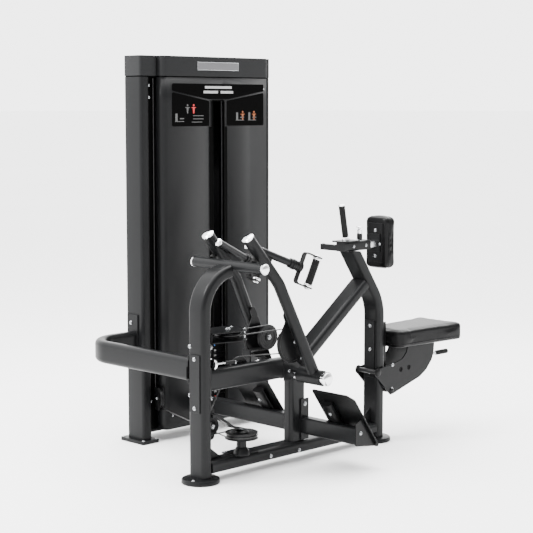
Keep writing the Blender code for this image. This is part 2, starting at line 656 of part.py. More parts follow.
def cables():
    pulley("front_pulley", FRONT_GROOVE, 0.014, (FRONT_PULLEY_X, 0, WHEEL_Z + WHEEL_GROOVE), (0, 0, 0))
    pulley("drop_pulley", DROP_GROOVE, 0.014, DROP_PULLEY, FACE_Y)
    pulley("turn_pulley", TURN_GROOVE, 0.014, TURN_PULLEY, FACE_Y)
    pulley("floor_pulley", FLOOR_GROOVE, 0.026, FLOOR_PULLEY, (0, 0, 0), floor=0.0100)
    pulley("tower_pulley", TOWER_GROOVE, 0.014, TOWER_PULLEY,
           (math.pi / 2, 0, math.pi / 2 - TOWER_BEARING))

    z = WHEEL_Z + WHEEL_GROOVE
    low_x, high_x, half_z, sheet_t = TUBE_THIN / 2 + GAP, 0.222, 0.0210, 0.004
    outline = [(low_x, z - half_z), (high_x, z - half_z), (high_x, z - half_z + sheet_t),
               (low_x + sheet_t, z - half_z + sheet_t), (low_x + sheet_t, z + half_z - sheet_t),
               (high_x, z + half_z - sheet_t), (high_x, z + half_z), (low_x, z + half_z)]
    plate("pulley_bracket", outline, 0.104, CHARCOAL, (0, 0, 0), FACE_Y)

    wire("cable", cable_route())
    stem_top = STACK_LOW + GAP + PLATE_COUNT * (PLATE_TALL + GAP) + 0.070
    wire("stack_cable", [(STACK_X, STACK_Y, stem_top + GAP), (STACK_X, STACK_Y, CAP_LOW - 0.004)])


def wire(name, points):
    curve = bpy.data.curves.new(name, "CURVE")
    curve.dimensions = "3D"
    curve.bevel_depth = CABLE_RADIUS
    curve.bevel_resolution = 2
    curve.use_fill_caps = True
    spline = curve.splines.new("POLY")
    spline.points.add(len(points) - 1)
    for point, place in zip(spline.points, points):
        point.co = (*place, 1.0)
    own(bpy.data.objects.new(name, curve), CABLE)


# ---------------------------------------------------------------- arms
def along(vector):
    """The rotation that turns local Z onto a direction."""
    return Vector(vector).to_track_quat("Z", "Y").to_euler()


def guard_outline():
    """The guard plate of the arm pulley, in the machine's X and Z."""
    lobe = [(0.420 + 0.080 * math.cos(math.radians(a)), 0.525 + 0.080 * math.sin(math.radians(a)))
            for a in range(150, 286, 15)]
    return [(0.392, 0.652), (0.378, 0.654), (0.369, 0.640), (0.378, 0.612), (0.366, 0.586)] + lobe \
        + [(0.470, 0.420), (0.494, 0.420)]


def arms():
    for side, sign in SIDES:
        pivot = empty(f"{side}_arm_pivot", (PIVOT_X, sign * ARM_Y, PIVOT_Z))
        foot_point = Vector((PIVOT_X, 0, PIVOT_Z))
        bend = Vector((ARM_BEND[0], 0, ARM_BEND[1]))
        top = Vector((ARM_TOP[0], 0, ARM_TOP[1]))
        lower, upper = bend - foot_point, top - bend
        angle = lower.angle(upper)
        radius = 0.120
        tangent = radius * math.tan(angle / 2)
        start = 0.0272
        runs = [("line", lower.length - start - tangent), ("bend", radius, angle, 6),
                ("line", upper.length - tangent)]
        bm = sweep(round_section(ARM_RADIUS, 24), runs, solid=True)
        lean = math.atan2(-lower.x, lower.z)
        bm.transform(Matrix.Translation((0, 0, start)))
        bm.transform(Matrix.Rotation(math.pi, 4, "Z"))
        bm.transform(Matrix.Rotation(-lean, 4, "Y"))
        bm.transform(Matrix.Rotation(sign * ARM_SPLAY, 4, "X"))
        arm = own(to_object(bm, f"{side}_arm"), CHARCOAL, (PIVOT_X, sign * ARM_Y, PIVOT_Z), parent=pivot)
        hub_middle = sign * (HUB_INNER + HUB_OUTER) / 2
        hub = collar("hub", HUB_BORE, HUB_RADIUS, HUB_OUTER - HUB_INNER, CHARCOAL,
                     (PIVOT_X, hub_middle, PIVOT_Z), TO_Y)
        begin = Vector((HANDLE_START[0], sign * HANDLE_START[1], HANDLE_START[2]))
        end = Vector((HANDLE_HUB[0], sign * HANDLE_HUB[1], HANDLE_HUB[2]))
        middle = (begin + end) / 2
        rod = disc("rod", HANDLE_TUBE_RADIUS, (end - begin).length, CHARCOAL, middle,
                   along(end - begin), sides=20)
        combine(arm, [hub, rod])

        plate(f"{side}_pulley_guard", guard_outline(), 0.007, CHARCOAL,
              (0, sign * GUARD_PLATE_Y, 0), FACE_Y, pivot)
        spin = empty(f"{side}_arm_pulley_axle", (WHEEL_X, sign * WHEEL_Y, WHEEL_Z))
        pulley(f"{side}_arm_pulley", WHEEL_GROOVE, 0.014, (WHEEL_X, sign * WHEEL_Y, WHEEL_Z),
               FACE_Y, spin)
        handle(side, sign, begin, end)


def handle(side, sign, begin, end):
    """The swivelling D-handle: a hub, a bent strip and the grip across its mouth."""
    axis = (end - begin).normalized()
    swivel = empty(f"{side}_handle_swivel", end)
    hub_length = 0.048
    hub_middle = end + axis * (GAP + hub_length / 2)
    down = (Vector((0, 0, -1)) + axis * axis.z).normalized()
    out = axis.cross(down).normalized()
    half = GRIP_LENGTH / 2 + STRIP_THICK
    bend = 0.012
    back = end + axis * (GAP + hub_length - STRIP_THICK)
    section = [(STRIP_THICK / 2, STRIP_WIDE / 2), (-STRIP_THICK / 2, STRIP_WIDE / 2),
               (-STRIP_THICK / 2, -STRIP_WIDE / 2), (STRIP_THICK / 2, -STRIP_WIDE / 2)]
    span = 2 * (half - STRIP_THICK / 2 - bend)
    bm = sweep(section, [("line", BRACKET_REACH - bend), ("bend", bend, math.pi / 2, 4), ("line", span),
                         ("bend", bend, math.pi / 2, 4), ("line", BRACKET_REACH - bend)], solid=True)
    # local Z starts towards the hub, local X runs down along the grip
    frame_matrix = Matrix((down, out, -axis)).transposed()
    if frame_matrix.determinant() < 0:
        frame_matrix = Matrix((down, -out, -axis)).transposed()
    corner = back - down * (half - STRIP_THICK / 2) + axis * BRACKET_REACH
    bracket = own(to_object(bm, f"{side}_handle"), DARK, corner, frame_matrix.to_euler(), swivel)
    hub = disc("hub", 0.0215, hub_length, DARK, hub_middle, along(axis), sides=24)
    combine(bracket, [hub])
    grip_place = back + axis * (BRACKET_REACH - 0.016)
    disc(f"{side}_grip", GRIP_RADIUS, GRIP_LENGTH - 2 * GAP, RUBBER, grip_place, along(down), swivel, 24)


# ---------------------------------------------------------------- seat and chest pad
def seat():
    lift = empty("seat_carriage_slide", (SEAT_POST_X, 0, 0))
    outline = [(0.984, 0.330), (0.984, 0.304), (1.085, 0.206), (1.100, 0.208), (1.290, 0.262),
               (1.335, 0.288), (1.375, 0.330), (1.388, 0.368), (1.392, 0.4175), (1.205, 0.4175),
               (1.195, 0.385), (1.165, 0.358), (1.090, 0.342)]
    radii = [0.008, 0.012, 0.008, 0.008, 0.05, 0.05, 0.04, 0.04, 0.002, 0.002, 0.015, 0.03, 0.05]
    outline.reverse()
    radii.reverse()
    carriage = plate("seat_carriage", rounded(outline, radii, 3), CARRIAGE_THICK, CHARCOAL,
                     (0, -CARRIAGE_Y, 0), FACE_Y, lift)
    other = plate("carriage_side", rounded(outline, radii, 3), CARRIAGE_THICK, CHARCOAL,
                  (0, CARRIAGE_Y, 0), FACE_Y)
    width = 2 * CARRIAGE_Y + CARRIAGE_THICK + 0.004
    roller = disc("front_roller", 0.0150, width, CHARCOAL, (ROLLER[0], 0, ROLLER[1]), TO_Y, sides=20)
    rear_roller = disc("rear_roller", 0.0150, width, CHARCOAL, (1.0915, 0, 0.228), TO_Y, sides=20)
    deck = block("deck", (1.210, -CARRIAGE_Y - 0.002, 0.410), (1.385, CARRIAGE_Y + 0.002, 0.4165), CHARCOAL)
    combine(carriage, [other, roller, rear_roller, deck])

    front, rear = SEAT_FRONT, SEAT_REAR
    pad = [(rear, SEAT_REAR_HALF), (front, SEAT_FRONT_HALF), (front, -SEAT_FRONT_HALF),
           (rear, -SEAT_REAR_HALF)]
    cushion = plate("seat_pad", rounded(pad, [0.030, 0.050, 0.050, 0.030], 5), SEAT_TOP - SEAT_LOW, VINYL,
                    (0, 0, (SEAT_TOP + SEAT_LOW) / 2), parent=lift)
    soften = cushion.modifiers.new("edges", "BEVEL")
    soften.width = 0.010
    soften.segments = 3
    soften.angle_limit = math.radians(60)

    hinge = empty("seat_lever_hinge", (LEVER_X, LEVER_Y, LEVER_Z))
    lever = block("seat_lever", (LEVER_X - 0.008, LEVER_Y - 0.006, LEVER_Z - 0.006),
                  (LEVER_GRIP_X + 0.002, LEVER_Y + 0.006, LEVER_Z + 0.006), CHARCOAL, parent=hinge)
    grip = disc("lever_grip", 0.011, SEAT_REAR - LEVER_GRIP_X, RUBBER,
                ((LEVER_GRIP_X + SEAT_REAR) / 2, LEVER_Y, LEVER_Z), TO_X, sides=20, chamfer=0.003)
    combine(lever, [grip])


def chest():
    sleeve = tube("chest_sleeve", box_section(SLEEVE_TALL, SLEEVE_WIDE, 0.006), [("line", 0.168)], CHARCOAL,
                  (0.812, 0, SLEEVE_Z), TO_X)
    bumper = block("cross_bar", (0.812, SLEEVE_WIDE / 2 - 0.002, 0.862), (0.832, 0.120, 0.888), CHARCOAL)
    combine(sleeve, [bumper])
    slide = empty("chest_slide_home", (0.9, 0, SLEEVE_Z))
    bar("chest_slide", box_section(0.030, 0.040, 0.003), [("line", PAD_BACK - GAP - 0.850)], CHROME,
        (0.850, 0, SLEEVE_Z), TO_X, slide)
    outline = box_section(2 * PAD_HALF, PAD_TOP - PAD_LOW, 0.025, 4)
    cushion = plate("chest_pad", outline, PAD_FRONT - PAD_BACK, VINYL,
                    ((PAD_BACK + PAD_FRONT) / 2, 0, (PAD_LOW + PAD_TOP) / 2), FACE_X, slide)
    soften = cushion.modifiers.new("edges", "BEVEL")
    soften.width = 0.008
    soften.segments = 2
    soften.angle_limit = math.radians(60)

    top = SLEEVE_Z + SLEEVE_TALL / 2 + GAP
    base = block("stabiliser_handle", (0.795, -0.040, top), (0.900, 0.040, top + 0.006), DARK, 0.010)
    foot_point, tip = Vector((0.847, 0, top + 0.003)), Vector((0.817, 0, 1.066))
    post = disc("post", 0.0135, (tip - foot_point).length, RUBBER, (foot_point + tip) / 2,
                along(tip - foot_point), sides=24)
    combine(base, [post])
    pull = empty("chest_knob_slide", (0.935, 0, top))
    profile = [(0, 0.062), (0.009, 0.062), (0.012, 0.058), (0.012, 0.002), (0.010, 0), (0, 0)]
    turned("chest_knob", profile, NYLON, (0.935, 0, top + GAP), parent=pull, sides=24)


frame()
lower_frame()
tower()
weights()
cables()
arms()
seat()
chest()
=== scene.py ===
"""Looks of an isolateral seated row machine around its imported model.

Positions are written in the machine's own frame: the foot of the front post is
(0, 0, 0), +X runs along the base beam towards the seat, +Y towards the weight
tower and +Z up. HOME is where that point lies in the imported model. The user's
left is -Y.
"""
import math

import bmesh
import bpy
from mathutils import Euler, Matrix, Vector
from mathutils.bvhtree import BVHTree


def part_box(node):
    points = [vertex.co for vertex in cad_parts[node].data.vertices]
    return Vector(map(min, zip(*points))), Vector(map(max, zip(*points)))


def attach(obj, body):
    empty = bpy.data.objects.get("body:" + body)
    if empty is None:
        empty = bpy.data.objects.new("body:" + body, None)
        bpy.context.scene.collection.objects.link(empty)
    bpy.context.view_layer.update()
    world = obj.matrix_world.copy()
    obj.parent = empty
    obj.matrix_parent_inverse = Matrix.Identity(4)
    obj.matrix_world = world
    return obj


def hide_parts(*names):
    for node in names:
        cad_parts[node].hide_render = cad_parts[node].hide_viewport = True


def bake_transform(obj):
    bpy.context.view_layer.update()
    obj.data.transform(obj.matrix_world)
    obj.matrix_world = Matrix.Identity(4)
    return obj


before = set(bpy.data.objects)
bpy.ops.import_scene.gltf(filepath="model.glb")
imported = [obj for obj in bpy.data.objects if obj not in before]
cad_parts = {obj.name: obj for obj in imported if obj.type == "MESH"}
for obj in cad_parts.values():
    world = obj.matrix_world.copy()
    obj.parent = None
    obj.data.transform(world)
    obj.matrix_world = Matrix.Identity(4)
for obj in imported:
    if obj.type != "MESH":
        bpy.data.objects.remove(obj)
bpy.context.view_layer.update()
foot_low, foot_high = (Vector(corner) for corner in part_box("front_post_foot"))
HOME = Vector(((foot_low.x + foot_high.x) / 2, (foot_low.y + foot_high.y) / 2, 0.0))
SIDES = (("left", -1), ("right", 1))


def cad(node):
    """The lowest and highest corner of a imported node, in the machine's frame."""
    low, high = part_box(node)
    return Vector(low) - HOME, Vector(high) - HOME


# ---------------------------------------------------------------- dimensions
GAP, MITRE_GAP = 0.0003, 0.0022
TUBE_THIN, TUBE_WIDE, TUBE_ROUND = 0.050, 0.090, 0.017
POST_BEND_Z, POST_BEND_RADIUS, POST_BEND_TURN = 0.675, 0.160, math.radians(82.0)
STOP_X, STOP_Z, STOP_RADIUS, STOP_HALF = 0.158, 0.853, 0.021, 0.200
UPPER_BEAM_TALL, UPPER_BEAM_END = 0.085, 0.565
SEAT_POST_X, SEAT_POST_BEND_Z, SEAT_POST_BEND_RADIUS = 1.035, 0.562, 0.200
SEAT_POST_LEAN = math.radians(34.4)
SLEEVE_Z, SLEEVE_TALL = 0.8813, 0.040
SLEEVE_TOP = SLEEVE_Z + SLEEVE_TALL / 2
BRACE_ANGLE = math.radians(37.0)
FOOTREST_TOP, FOOTREST_LOW = (0.498, 0.325), (0.662, 0.095)
FOOTREST_INNER, FOOTREST_OUTER = 0.130, 0.360
GUARD_Z, GUARD_TALL, GUARD_RUN_Y, GUARD_BEND = 0.450, 0.094, 0.722, 0.145
COLUMN_X, COLUMN_Y, COLUMN_DEEP = (0.283, 1.015), 0.7175, 0.115
CAP_LOW, TOWER_TOP = 1.608, 1.700
SHROUD_Y, SHROUD_LEFT, SHROUD_RIGHT, SHROUD_LOW = 0.630, 0.355, 0.985, 0.050
REAR_Y, REAR_RETURN, CAP_LIP = 0.808, 0.0322, 0.001
SLOT_X, SLOT_WIDE, SLOT_LOW, SLOT_TOP = 0.682, 0.072, 0.075, 1.507
STACK_X, STACK_Y, PIN_Z = 0.682, 0.735, 0.109
PIVOT_X, PIVOT_Z = 0.511, 0.374
ARM_RADIUS, ARM_Y, ARM_SPLAY = 0.024, 0.140, math.radians(2.3)
ARM_BEND, ARM_TOP = Vector((0.313, 0, 0.776)), Vector((0.150, 0, 0.970))
ARM_BEND_RADIUS, ARM_START, ARM_HUB = 0.120, 0.0272, (0.052, 0.184)
HANDLE_START, HANDLE_HUB = (0.185, 0.085, 0.935), (0.378, 0.132, 0.8535)
GRIP_LENGTH, BRACKET_REACH, STRIP_WIDE, STRIP_THICK, HUB_LONG = 0.125, 0.080, 0.028, 0.005, 0.048
WHEEL_X, WHEEL_Y, WHEEL_Z, WHEEL_GROOVE = 0.432, 0.060, 0.527, 0.050
GUARD_PLATE_Y = 0.0965
CABLE_RADIUS = 0.0025
FRONT_PULLEY = (0.150, 0.0, WHEEL_Z + WHEEL_GROOVE)
FRONT_GROOVE, BRACKET_DISC = 0.050, 0.076
DROP_PULLEY, DROP_GROOVE = (0.238, 0.033, 0.425), 0.045
TURN_PULLEY, TURN_GROOVE = (0.085, 0.033, 0.2075), 0.035
FLOOR_PULLEY, FLOOR_GROOVE, FLOOR_PITCH = (0.194, -0.0315, 0.166), 0.0645, 0.010
TOWER_PULLEY, TOWER_GROOVE = (0.331, 0.640, 0.1975), 0.040
TOWER_REACH = math.hypot(TOWER_PULLEY[0] - FLOOR_PULLEY[0], TOWER_PULLEY[1] - FLOOR_PULLEY[1])
TOWER_BEARING = (math.atan2(TOWER_PULLEY[0] - FLOOR_PULLEY[0], TOWER_PULLEY[1] - FLOOR_PULLEY[1])
                 + math.asin(FLOOR_GROOVE / TOWER_REACH))
CARRIAGE_Y, CARRIAGE_THICK = 0.054, 0.006
SEAT_FRONT, SEAT_REAR, SEAT_LOW, SEAT_TOP = 1.085, 1.506, 0.4185, 0.4920
SEAT_FRONT_HALF, SEAT_REAR_HALF = 0.105, 0.130
PAD_BACK, PAD_FRONT, PAD_HALF, PAD_LOW, PAD_TOP = 1.044, 1.101, 0.0590, 0.777, 0.996
LEVER_X, LEVER_Y, LEVER_Z, LEVER_GRIP_X = 1.330, -0.038, 0.352, 1.424

BADGE_X, BADGE_Z, BADGE_HALF, BADGE_TALL = 0.682, 1.6585, 0.124, 0.034
INK_THICK = 0.0008
SHEET_THICK, SHEET_BEND = 0.0025, 0.030
RACK_HOLES, RACK_PITCH = 8, 0.028
WHEEL_THICK, FLOOR_WHEEL_THICK, FLOOR_WHEEL_FLAT = 0.014, 0.026, 0.010
FOAM_FILL, SKIN_VOXEL, FOAM_PRESSURE, CLOTH_FRAMES = 0.9, 0.005, 4.0, 20

TO_X = (0, math.pi / 2, 0)
TO_Y = (-math.pi / 2, 0, 0)
FACE_Y = (math.pi / 2, 0, 0)
FACE_X = (math.pi / 2, 0, math.pi / 2)
FACE_TOWER = (math.pi / 2, 0, math.pi / 2 - TOWER_BEARING)


# ---------------------------------------------------------------- camera and studio
FLOOR_HALF = 400.0
CAMERA_PLACE, CAMERA_TURN, CAMERA_LENS = (-3.709, -4.130, 1.4805), (83.625, 0.0, -44.62), 96.72
LOOK_AT = (0.6, 0.3, 0.7)
WORLD_STRENGTH, WORLD_SHADE = 4.4, 0.9
OVERHEAD = 3.7
BRIGHT_SIDE = (-0.10, 0.95, 0.15)
LIGHTS = (("left_softbox", (-1.9, 1.3, 3.0), (1.2, 1.2), 150),
          ("top_softbox", (0.8, 0.6, 5.0), (5.0, 4.0), 350),
          ("seat_softbox", (3.0, 0.6, 2.6), (1.5, 2.0), 60))


def add(name, data, place):
    """A new object of the scene at a place in the machine's frame."""
    obj = bpy.data.objects.new(name, data)
    obj.location = HOME + Vector(place)
    bpy.context.scene.collection.objects.link(obj)
    return obj


def new_node(tree, kind, inputs):
    """A new shader node with the values of some of its inputs."""
    node = tree.nodes.new(kind)
    for name, value in inputs.items():
        node.inputs[name].default_value = value
    return node


def studio():
    """The camera and a wide pale floor."""
    lens = bpy.data.cameras.new("camera")
    lens.lens = CAMERA_LENS
    lens.sensor_width = 36.0
    camera = add("camera", lens, CAMERA_PLACE)
    camera.rotation_euler = [math.radians(turn) for turn in CAMERA_TURN]
    bpy.context.scene.camera = camera
    bm = bmesh.new()
    bmesh.ops.create_grid(bm, x_segments=2, y_segments=2, size=FLOOR_HALF)
    floor = make("floor", bm, FLOOR, body=None)


def sky():
    """A white world that is brighter towards one side."""
    world = bpy.data.worlds.new("studio")
    world.use_nodes = True
    tree, link = world.node_tree, world.node_tree.links.new
    glow = tree.nodes["Background"]
    glow.inputs["Color"].default_value = (1.0, 1.0, 1.0, 1.0)
    direction = tree.nodes.new("ShaderNodeTexCoord")
    towards = new_node(tree, "ShaderNodeVectorMath", {1: BRIGHT_SIDE})
    towards.operation = "DOT_PRODUCT"
    fade = new_node(tree, "ShaderNodeMapRange", {"From Min": -0.8, "From Max": 0.5,
                                                 "To Min": WORLD_SHADE, "To Max": WORLD_STRENGTH})
    fade.interpolation_type = "SMOOTHSTEP"
    link(direction.outputs["Generated"], towards.inputs[0])
    link(towards.outputs["Value"], fade.inputs["Value"])
    link(fade.outputs["Result"], glow.inputs["Strength"])
    bpy.context.scene.world = world


def lamps():
    """A wide sun straight overhead and the softboxes, which are aimed at the machine's middle."""
    sun = bpy.data.lights.new("overhead", "SUN")
    sun.energy = OVERHEAD
    sun.angle = math.radians(80)
    add("overhead", sun, (0, 0, 6))
    for name, place, size, power in LIGHTS:
        light = bpy.data.lights.new(name, "AREA")
        light.shape = "RECTANGLE"
        light.size, light.size_y = size
        light.energy = power
        lamp = add(name, light, place)
        aim = HOME + Vector(LOOK_AT) - lamp.location
        lamp.rotation_euler = aim.to_track_quat("-Z", "Y").to_euler()


# ---------------------------------------------------------------- materials
COAT_ROUGHNESS, RELIEF = 0.22, 0.0005


def worn_edges(tree, tint, colour, wear):
    """Lighten a colour where the surface is sharply convex."""
    edge = tree.nodes.new("ShaderNodeNewGeometry")
    catch = new_node(tree, "ShaderNodeMapRange", {"From Min": 0.53, "From Max": 0.62, "To Max": wear})
    tree.links.new(edge.outputs["Pointiness"], catch.inputs["Value"])
    mix = tree.nodes.new("ShaderNodeMix")
    mix.data_type = "RGBA"
    mix.inputs["B"].default_value = (*[min(1, c * 2.0 + 0.004) for c in colour], 1)
    tree.links.new(catch.outputs["Result"], mix.inputs["Factor"])
    tree.links.new(tint, mix.inputs["A"])
    return mix.outputs["Result"]


def grain_height(tree, source, pattern, grain):
    """The height of a fine grain: leather cells, brushed lines or plain noise."""
    kind = "ShaderNodeTexVoronoi" if pattern == "leather" else "ShaderNodeTexNoise"
    fine = new_node(tree, kind, {"Scale": grain})
    if pattern == "brushed":
        stretch = new_node(tree, "ShaderNodeMapping", {"Scale": (1.0, 1.0, 0.02)})
        tree.links.new(source, stretch.inputs["Vector"])
        source = stretch.outputs["Vector"]
    tree.links.new(source, fine.inputs["Vector"])
    if pattern == "leather":
        fine.feature = "DISTANCE_TO_EDGE"
        return fine.outputs["Distance"]
    return fine.outputs["Fac"]


def material(name, colour, rough, metallic=0.0, shade=0.15, mottle=6.0, bump=0.05, grain=700.0,
             rough_spread=0.05, pattern="noise", wear=0.0, coat=0.0, gloss=0.5):
    """A procedural material: mottled colour and roughness, a fine grain, and worn edges."""
    mat = bpy.data.materials.new(name)
    mat.use_nodes = True
    tree, link = mat.node_tree, mat.node_tree.links.new
    shader = tree.nodes["Principled BSDF"]
    shader.inputs["Metallic"].default_value = metallic
    shader.inputs["Specular IOR Level"].default_value = gloss
    if coat:
        shader.inputs["Coat Weight"].default_value = coat
        shader.inputs["Coat Roughness"].default_value = COAT_ROUGHNESS
    place = tree.nodes.new("ShaderNodeTexCoord").outputs["Object"]
    cloud = new_node(tree, "ShaderNodeTexNoise", {"Scale": mottle, "Detail": 5.0})
    link(place, cloud.inputs["Vector"])
    ramp = tree.nodes.new("ShaderNodeValToRGB")
    for end, position, change in zip(ramp.color_ramp.elements, (0.30, 0.72), (-shade, shade)):
        end.position = position
        end.color = (*[min(1, c * (1 + change)) for c in colour], 1)
    link(cloud.outputs["Fac"], ramp.inputs["Fac"])
    tint = ramp.outputs["Color"]
    if wear:
        tint = worn_edges(tree, tint, colour, wear)
    link(tint, shader.inputs["Base Color"])
    smear = new_node(tree, "ShaderNodeMapRange", {"To Min": rough - rough_spread,
                                                  "To Max": rough + rough_spread})
    link(cloud.outputs["Fac"], smear.inputs["Value"])
    link(smear.outputs["Result"], shader.inputs["Roughness"])
    relief = new_node(tree, "ShaderNodeBump", {"Strength": bump, "Distance": RELIEF})
    link(grain_height(tree, place, pattern, grain), relief.inputs["Height"])
    link(relief.outputs["Normal"], shader.inputs["Normal"])
    return mat


def ink(name, colour, shade=0.05):
    """A thin satin print."""
    return material(name, colour, 0.45, 0.0, shade, 30.0, 0.02, 600, 0.03)


# After the colour: roughness, metallic, shade, mottle scale, bump, grain scale, roughness spread.
FLOOR = material("floor_white", (0.90, 0.90, 0.90), 0.85, shade=0.01, mottle=0.4, bump=0.01, grain=40)
PAINT = material("charcoal_powder_coat", (0.0050, 0.0052, 0.0055), 0.38, 0.0, 0.08, 5.0, 0.10, 650, 0.05,
                 wear=0.35, gloss=0.05, coat=0.13)
PANEL = material("charcoal_panel", (0.0058, 0.0060, 0.0064), 0.40, 0.0, 0.06, 3.0, 0.08, 800, 0.05,
                 gloss=0.08, coat=0.065)
CAP_PANEL = material("cap_panel", (0.0092, 0.0095, 0.0100), 0.40, 0.0, 0.06, 3.0, 0.08, 800, 0.05,
                     gloss=0.10, coat=0.08)
DARK = material("black_powder_coat", (0.0028, 0.0028, 0.0030), 0.36, 0.0, 0.10, 8.0, 0.10, 650, 0.06,
                wear=0.25, gloss=0.06, coat=0.12)
CHROME = material("chrome", (0.88, 0.88, 0.89), 0.10, 1.0, 0.03, 20.0, 0.01, 300, 0.03)
STEEL = material("zinc_steel", (0.40, 0.41, 0.42), 0.25, 1.0, 0.08, 60.0, 0.04, 900, 0.06)
BRIGHT_BAR = material("bright_bar", (0.55, 0.55, 0.57), 0.22, 1.0, 0.05, 20.0, 0.05, 400, 0.05,
                      pattern="brushed")
DARK_STEEL = material("oiled_steel", (0.05, 0.05, 0.052), 0.30, 1.0, 0.08, 30.0, 0.05, 500, 0.05,
                      pattern="brushed")
RUBBER = material("black_rubber", (0.004, 0.004, 0.004), 0.62, 0.0, 0.20, 25.0, 0.25, 900, 0.08, gloss=0.15)
VINYL = material("black_vinyl", (0.0028, 0.0028, 0.0030), 0.36, 0.0, 0.12, 9.0, 0.35, 420, 0.05,
                 pattern="leather", coat=0.12, gloss=0.05)
NYLON = material("black_nylon", (0.0045, 0.0045, 0.0048), 0.42, 0.0, 0.12, 18.0, 0.08, 600, 0.06, gloss=0.20)
IRON = material("stack_iron", (0.0060, 0.0060, 0.0063), 0.50, 0.0, 0.20, 14.0, 0.30, 500, 0.08, gloss=0.20)
CABLE = material("coated_cable", (0.0060, 0.0060, 0.0060), 0.35, 0.0, 0.15, 40.0, 0.20, 1200, 0.05)
# Near-black: the placard, the seat board and the slot's edging and bands are this black; holes, gaps and the
# cap's recess also get it, as painted shade.
BLACK_AND_PAINTED_SHADE = material("placard_black_and_painted_shade", (0.0006, 0.0006, 0.0006), 0.30, 0.0, 0.10, 5.0, 0.02, 300, 0.03,
                 gloss=0.02)
BADGE = material("badge_grey", (0.12, 0.12, 0.125), 0.40, 0.55, 0.06, 12.0, 0.05, 900, 0.05)
WHITE_INK = ink("white_ink", (0.30, 0.30, 0.30), 0.04)
GREY_INK = ink("grey_ink", (0.05, 0.05, 0.05))
ORANGE_INK = ink("orange_ink", (0.22, 0.055, 0.008))
RED_INK = ink("red_ink", (0.45, 0.02, 0.02))
BLUE_INK = ink("blue_ink", (0.05, 0.15, 0.40))


# ---------------------------------------------------------------- mesh helpers
def skin_mesh(name, bm, mat, sharp=35):
    """A smooth-shaded mesh whose edges beyond an angle are sharp."""
    mesh = bpy.data.meshes.new(name)
    bm.normal_update()
    bm.to_mesh(mesh)
    bm.free()
    mesh.shade_smooth()
    mesh.set_sharp_from_angle(angle=math.radians(sharp))
    mesh.materials.append(mat)
    return mesh


def make(name, bm, mat, place=(0, 0, 0), turn=(0, 0, 0), body="frame", bevel=0.0, stands_for=()):
    """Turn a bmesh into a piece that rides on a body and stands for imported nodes."""
    return piece(name, skin_mesh(name, bm, mat), place, turn, body, bevel, stands_for)


def piece(name, mesh, place, turn=(0, 0, 0), body="frame", bevel=0.0, stands_for=()):
    """Place a mesh and let it ride on a body; with body=None the caller sees to that."""
    obj = add(name, mesh, place)
    obj.rotation_euler = turn
    if bevel:
        soften(obj, bevel, 3).harden_normals = True
    if body:
        bpy.context.view_layer.update()
        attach(obj, body)
    if stands_for:
        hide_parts(*stands_for)
    return obj


def soften(obj, width, segments):
    """Round an object's sharp edges."""
    edges = obj.modifiers.new("edges", "BEVEL")
    edges.width = width
    edges.segments = segments
    edges.angle_limit = math.radians(50)
    return edges


def rounded(points, radius, steps=8):
    """A closed outline with its corners rounded; radius is one value or one per corner."""
    radii = radius if isinstance(radius, (list, tuple)) else [radius] * len(points)
    outline = []
    for i, corner in enumerate(points):
        here = Vector(corner)
        before = (Vector(points[i - 1]) - here).normalized()
        after = (Vector(points[(i + 1) % len(points)]) - here).normalized()
        half = before.angle(after) / 2
        if radii[i] < 1e-6:
            outline.append(here)
            continue
        reach = radii[i] / math.tan(half)
        centre = here + (before + after).normalized() * (radii[i] / math.sin(half))
        start = here + before * reach - centre
        end = here + after * reach - centre
        turn = start.angle_signed(end)
        for k in range(steps + 1):
            outline.append(centre + Matrix.Rotation(-turn * k / steps, 2) @ start)
    return outline


def rectangle(x, y):
    """The corners of a rectangle that is twice x by twice y."""
    return [(x, y), (-x, y), (-x, -y), (x, -y)]


def taper(top_half, top, low_half, low):
    """An upright trapezoid, even about the middle."""
    return [(top_half, top), (-top_half, top), (-low_half, low), (low_half, low)]


def mirrored(profile):
    """A profile followed by its own mirror image below z = 0."""
    return profile + [(r, -z) for r, z in reversed(profile)]


def box_section(wide_x, wide_y, radius=TUBE_ROUND, steps=8):
    """The outline of a box tube with rounded corners."""
    return rounded(rectangle(wide_x / 2, wide_y / 2), radius, steps)


def round_section(radius, sides=40):
    """The outline of a round bar."""
    turn = 2 * math.pi / sides
    return [Vector((radius * math.cos(k * turn), radius * math.sin(k * turn))) for k in range(sides)]


def loft(rings, caps=True, closed=False):
    """Join rings of equally many points, in order, into one skin."""
    bm = bmesh.new()
    loops = [[bm.verts.new(p) for p in points] for points in rings]
    pairs = list(zip(loops, loops[1:])) + ([(loops[-1], loops[0])] if closed else [])
    for a, b in pairs:
        for i in range(len(a)):
            bm.faces.new((a[i - 1], a[i], b[i], b[i - 1]))
    if caps and not closed:
        bm.faces.new(loops[0])
        bm.faces.new(loops[-1])
    bmesh.ops.recalc_face_normals(bm, faces=bm.faces)
    return bm


def sweep(outline, runs, shear_start=None, shear_end=None):
    """Sweep an outline from the local origin along +Z; a bend turns towards local +X."""
    rings = []
    place, heading = Vector((0, 0, 0)), Vector((0, 0, 1))

    def ring(shear=None):
        """Add the outline at the present place, sheared along the heading if asked."""
        side = Vector((heading.z, 0, -heading.x))
        points = [place + side * p[0] + Vector((0, p[1], 0)) for p in outline]
        if shear:
            points = [q + heading * shear(p[0]) for q, p in zip(points, outline)]
        rings.append(points)

    ring(shear_start)
    for run in runs:
        if run[0] == "line":
            place = place + heading * run[1]
            ring()
            continue
        _, radius, angle, steps = run
        centre = place + Vector((heading.z, 0, -heading.x)) * radius
        step = Matrix.Rotation(angle / steps, 3, "Y")
        for _ in range(steps):
            place = centre + step @ (place - centre)
            heading = step @ heading
            ring()
    if shear_end:
        rings.pop()
        ring(shear_end)
    return loft(rings)


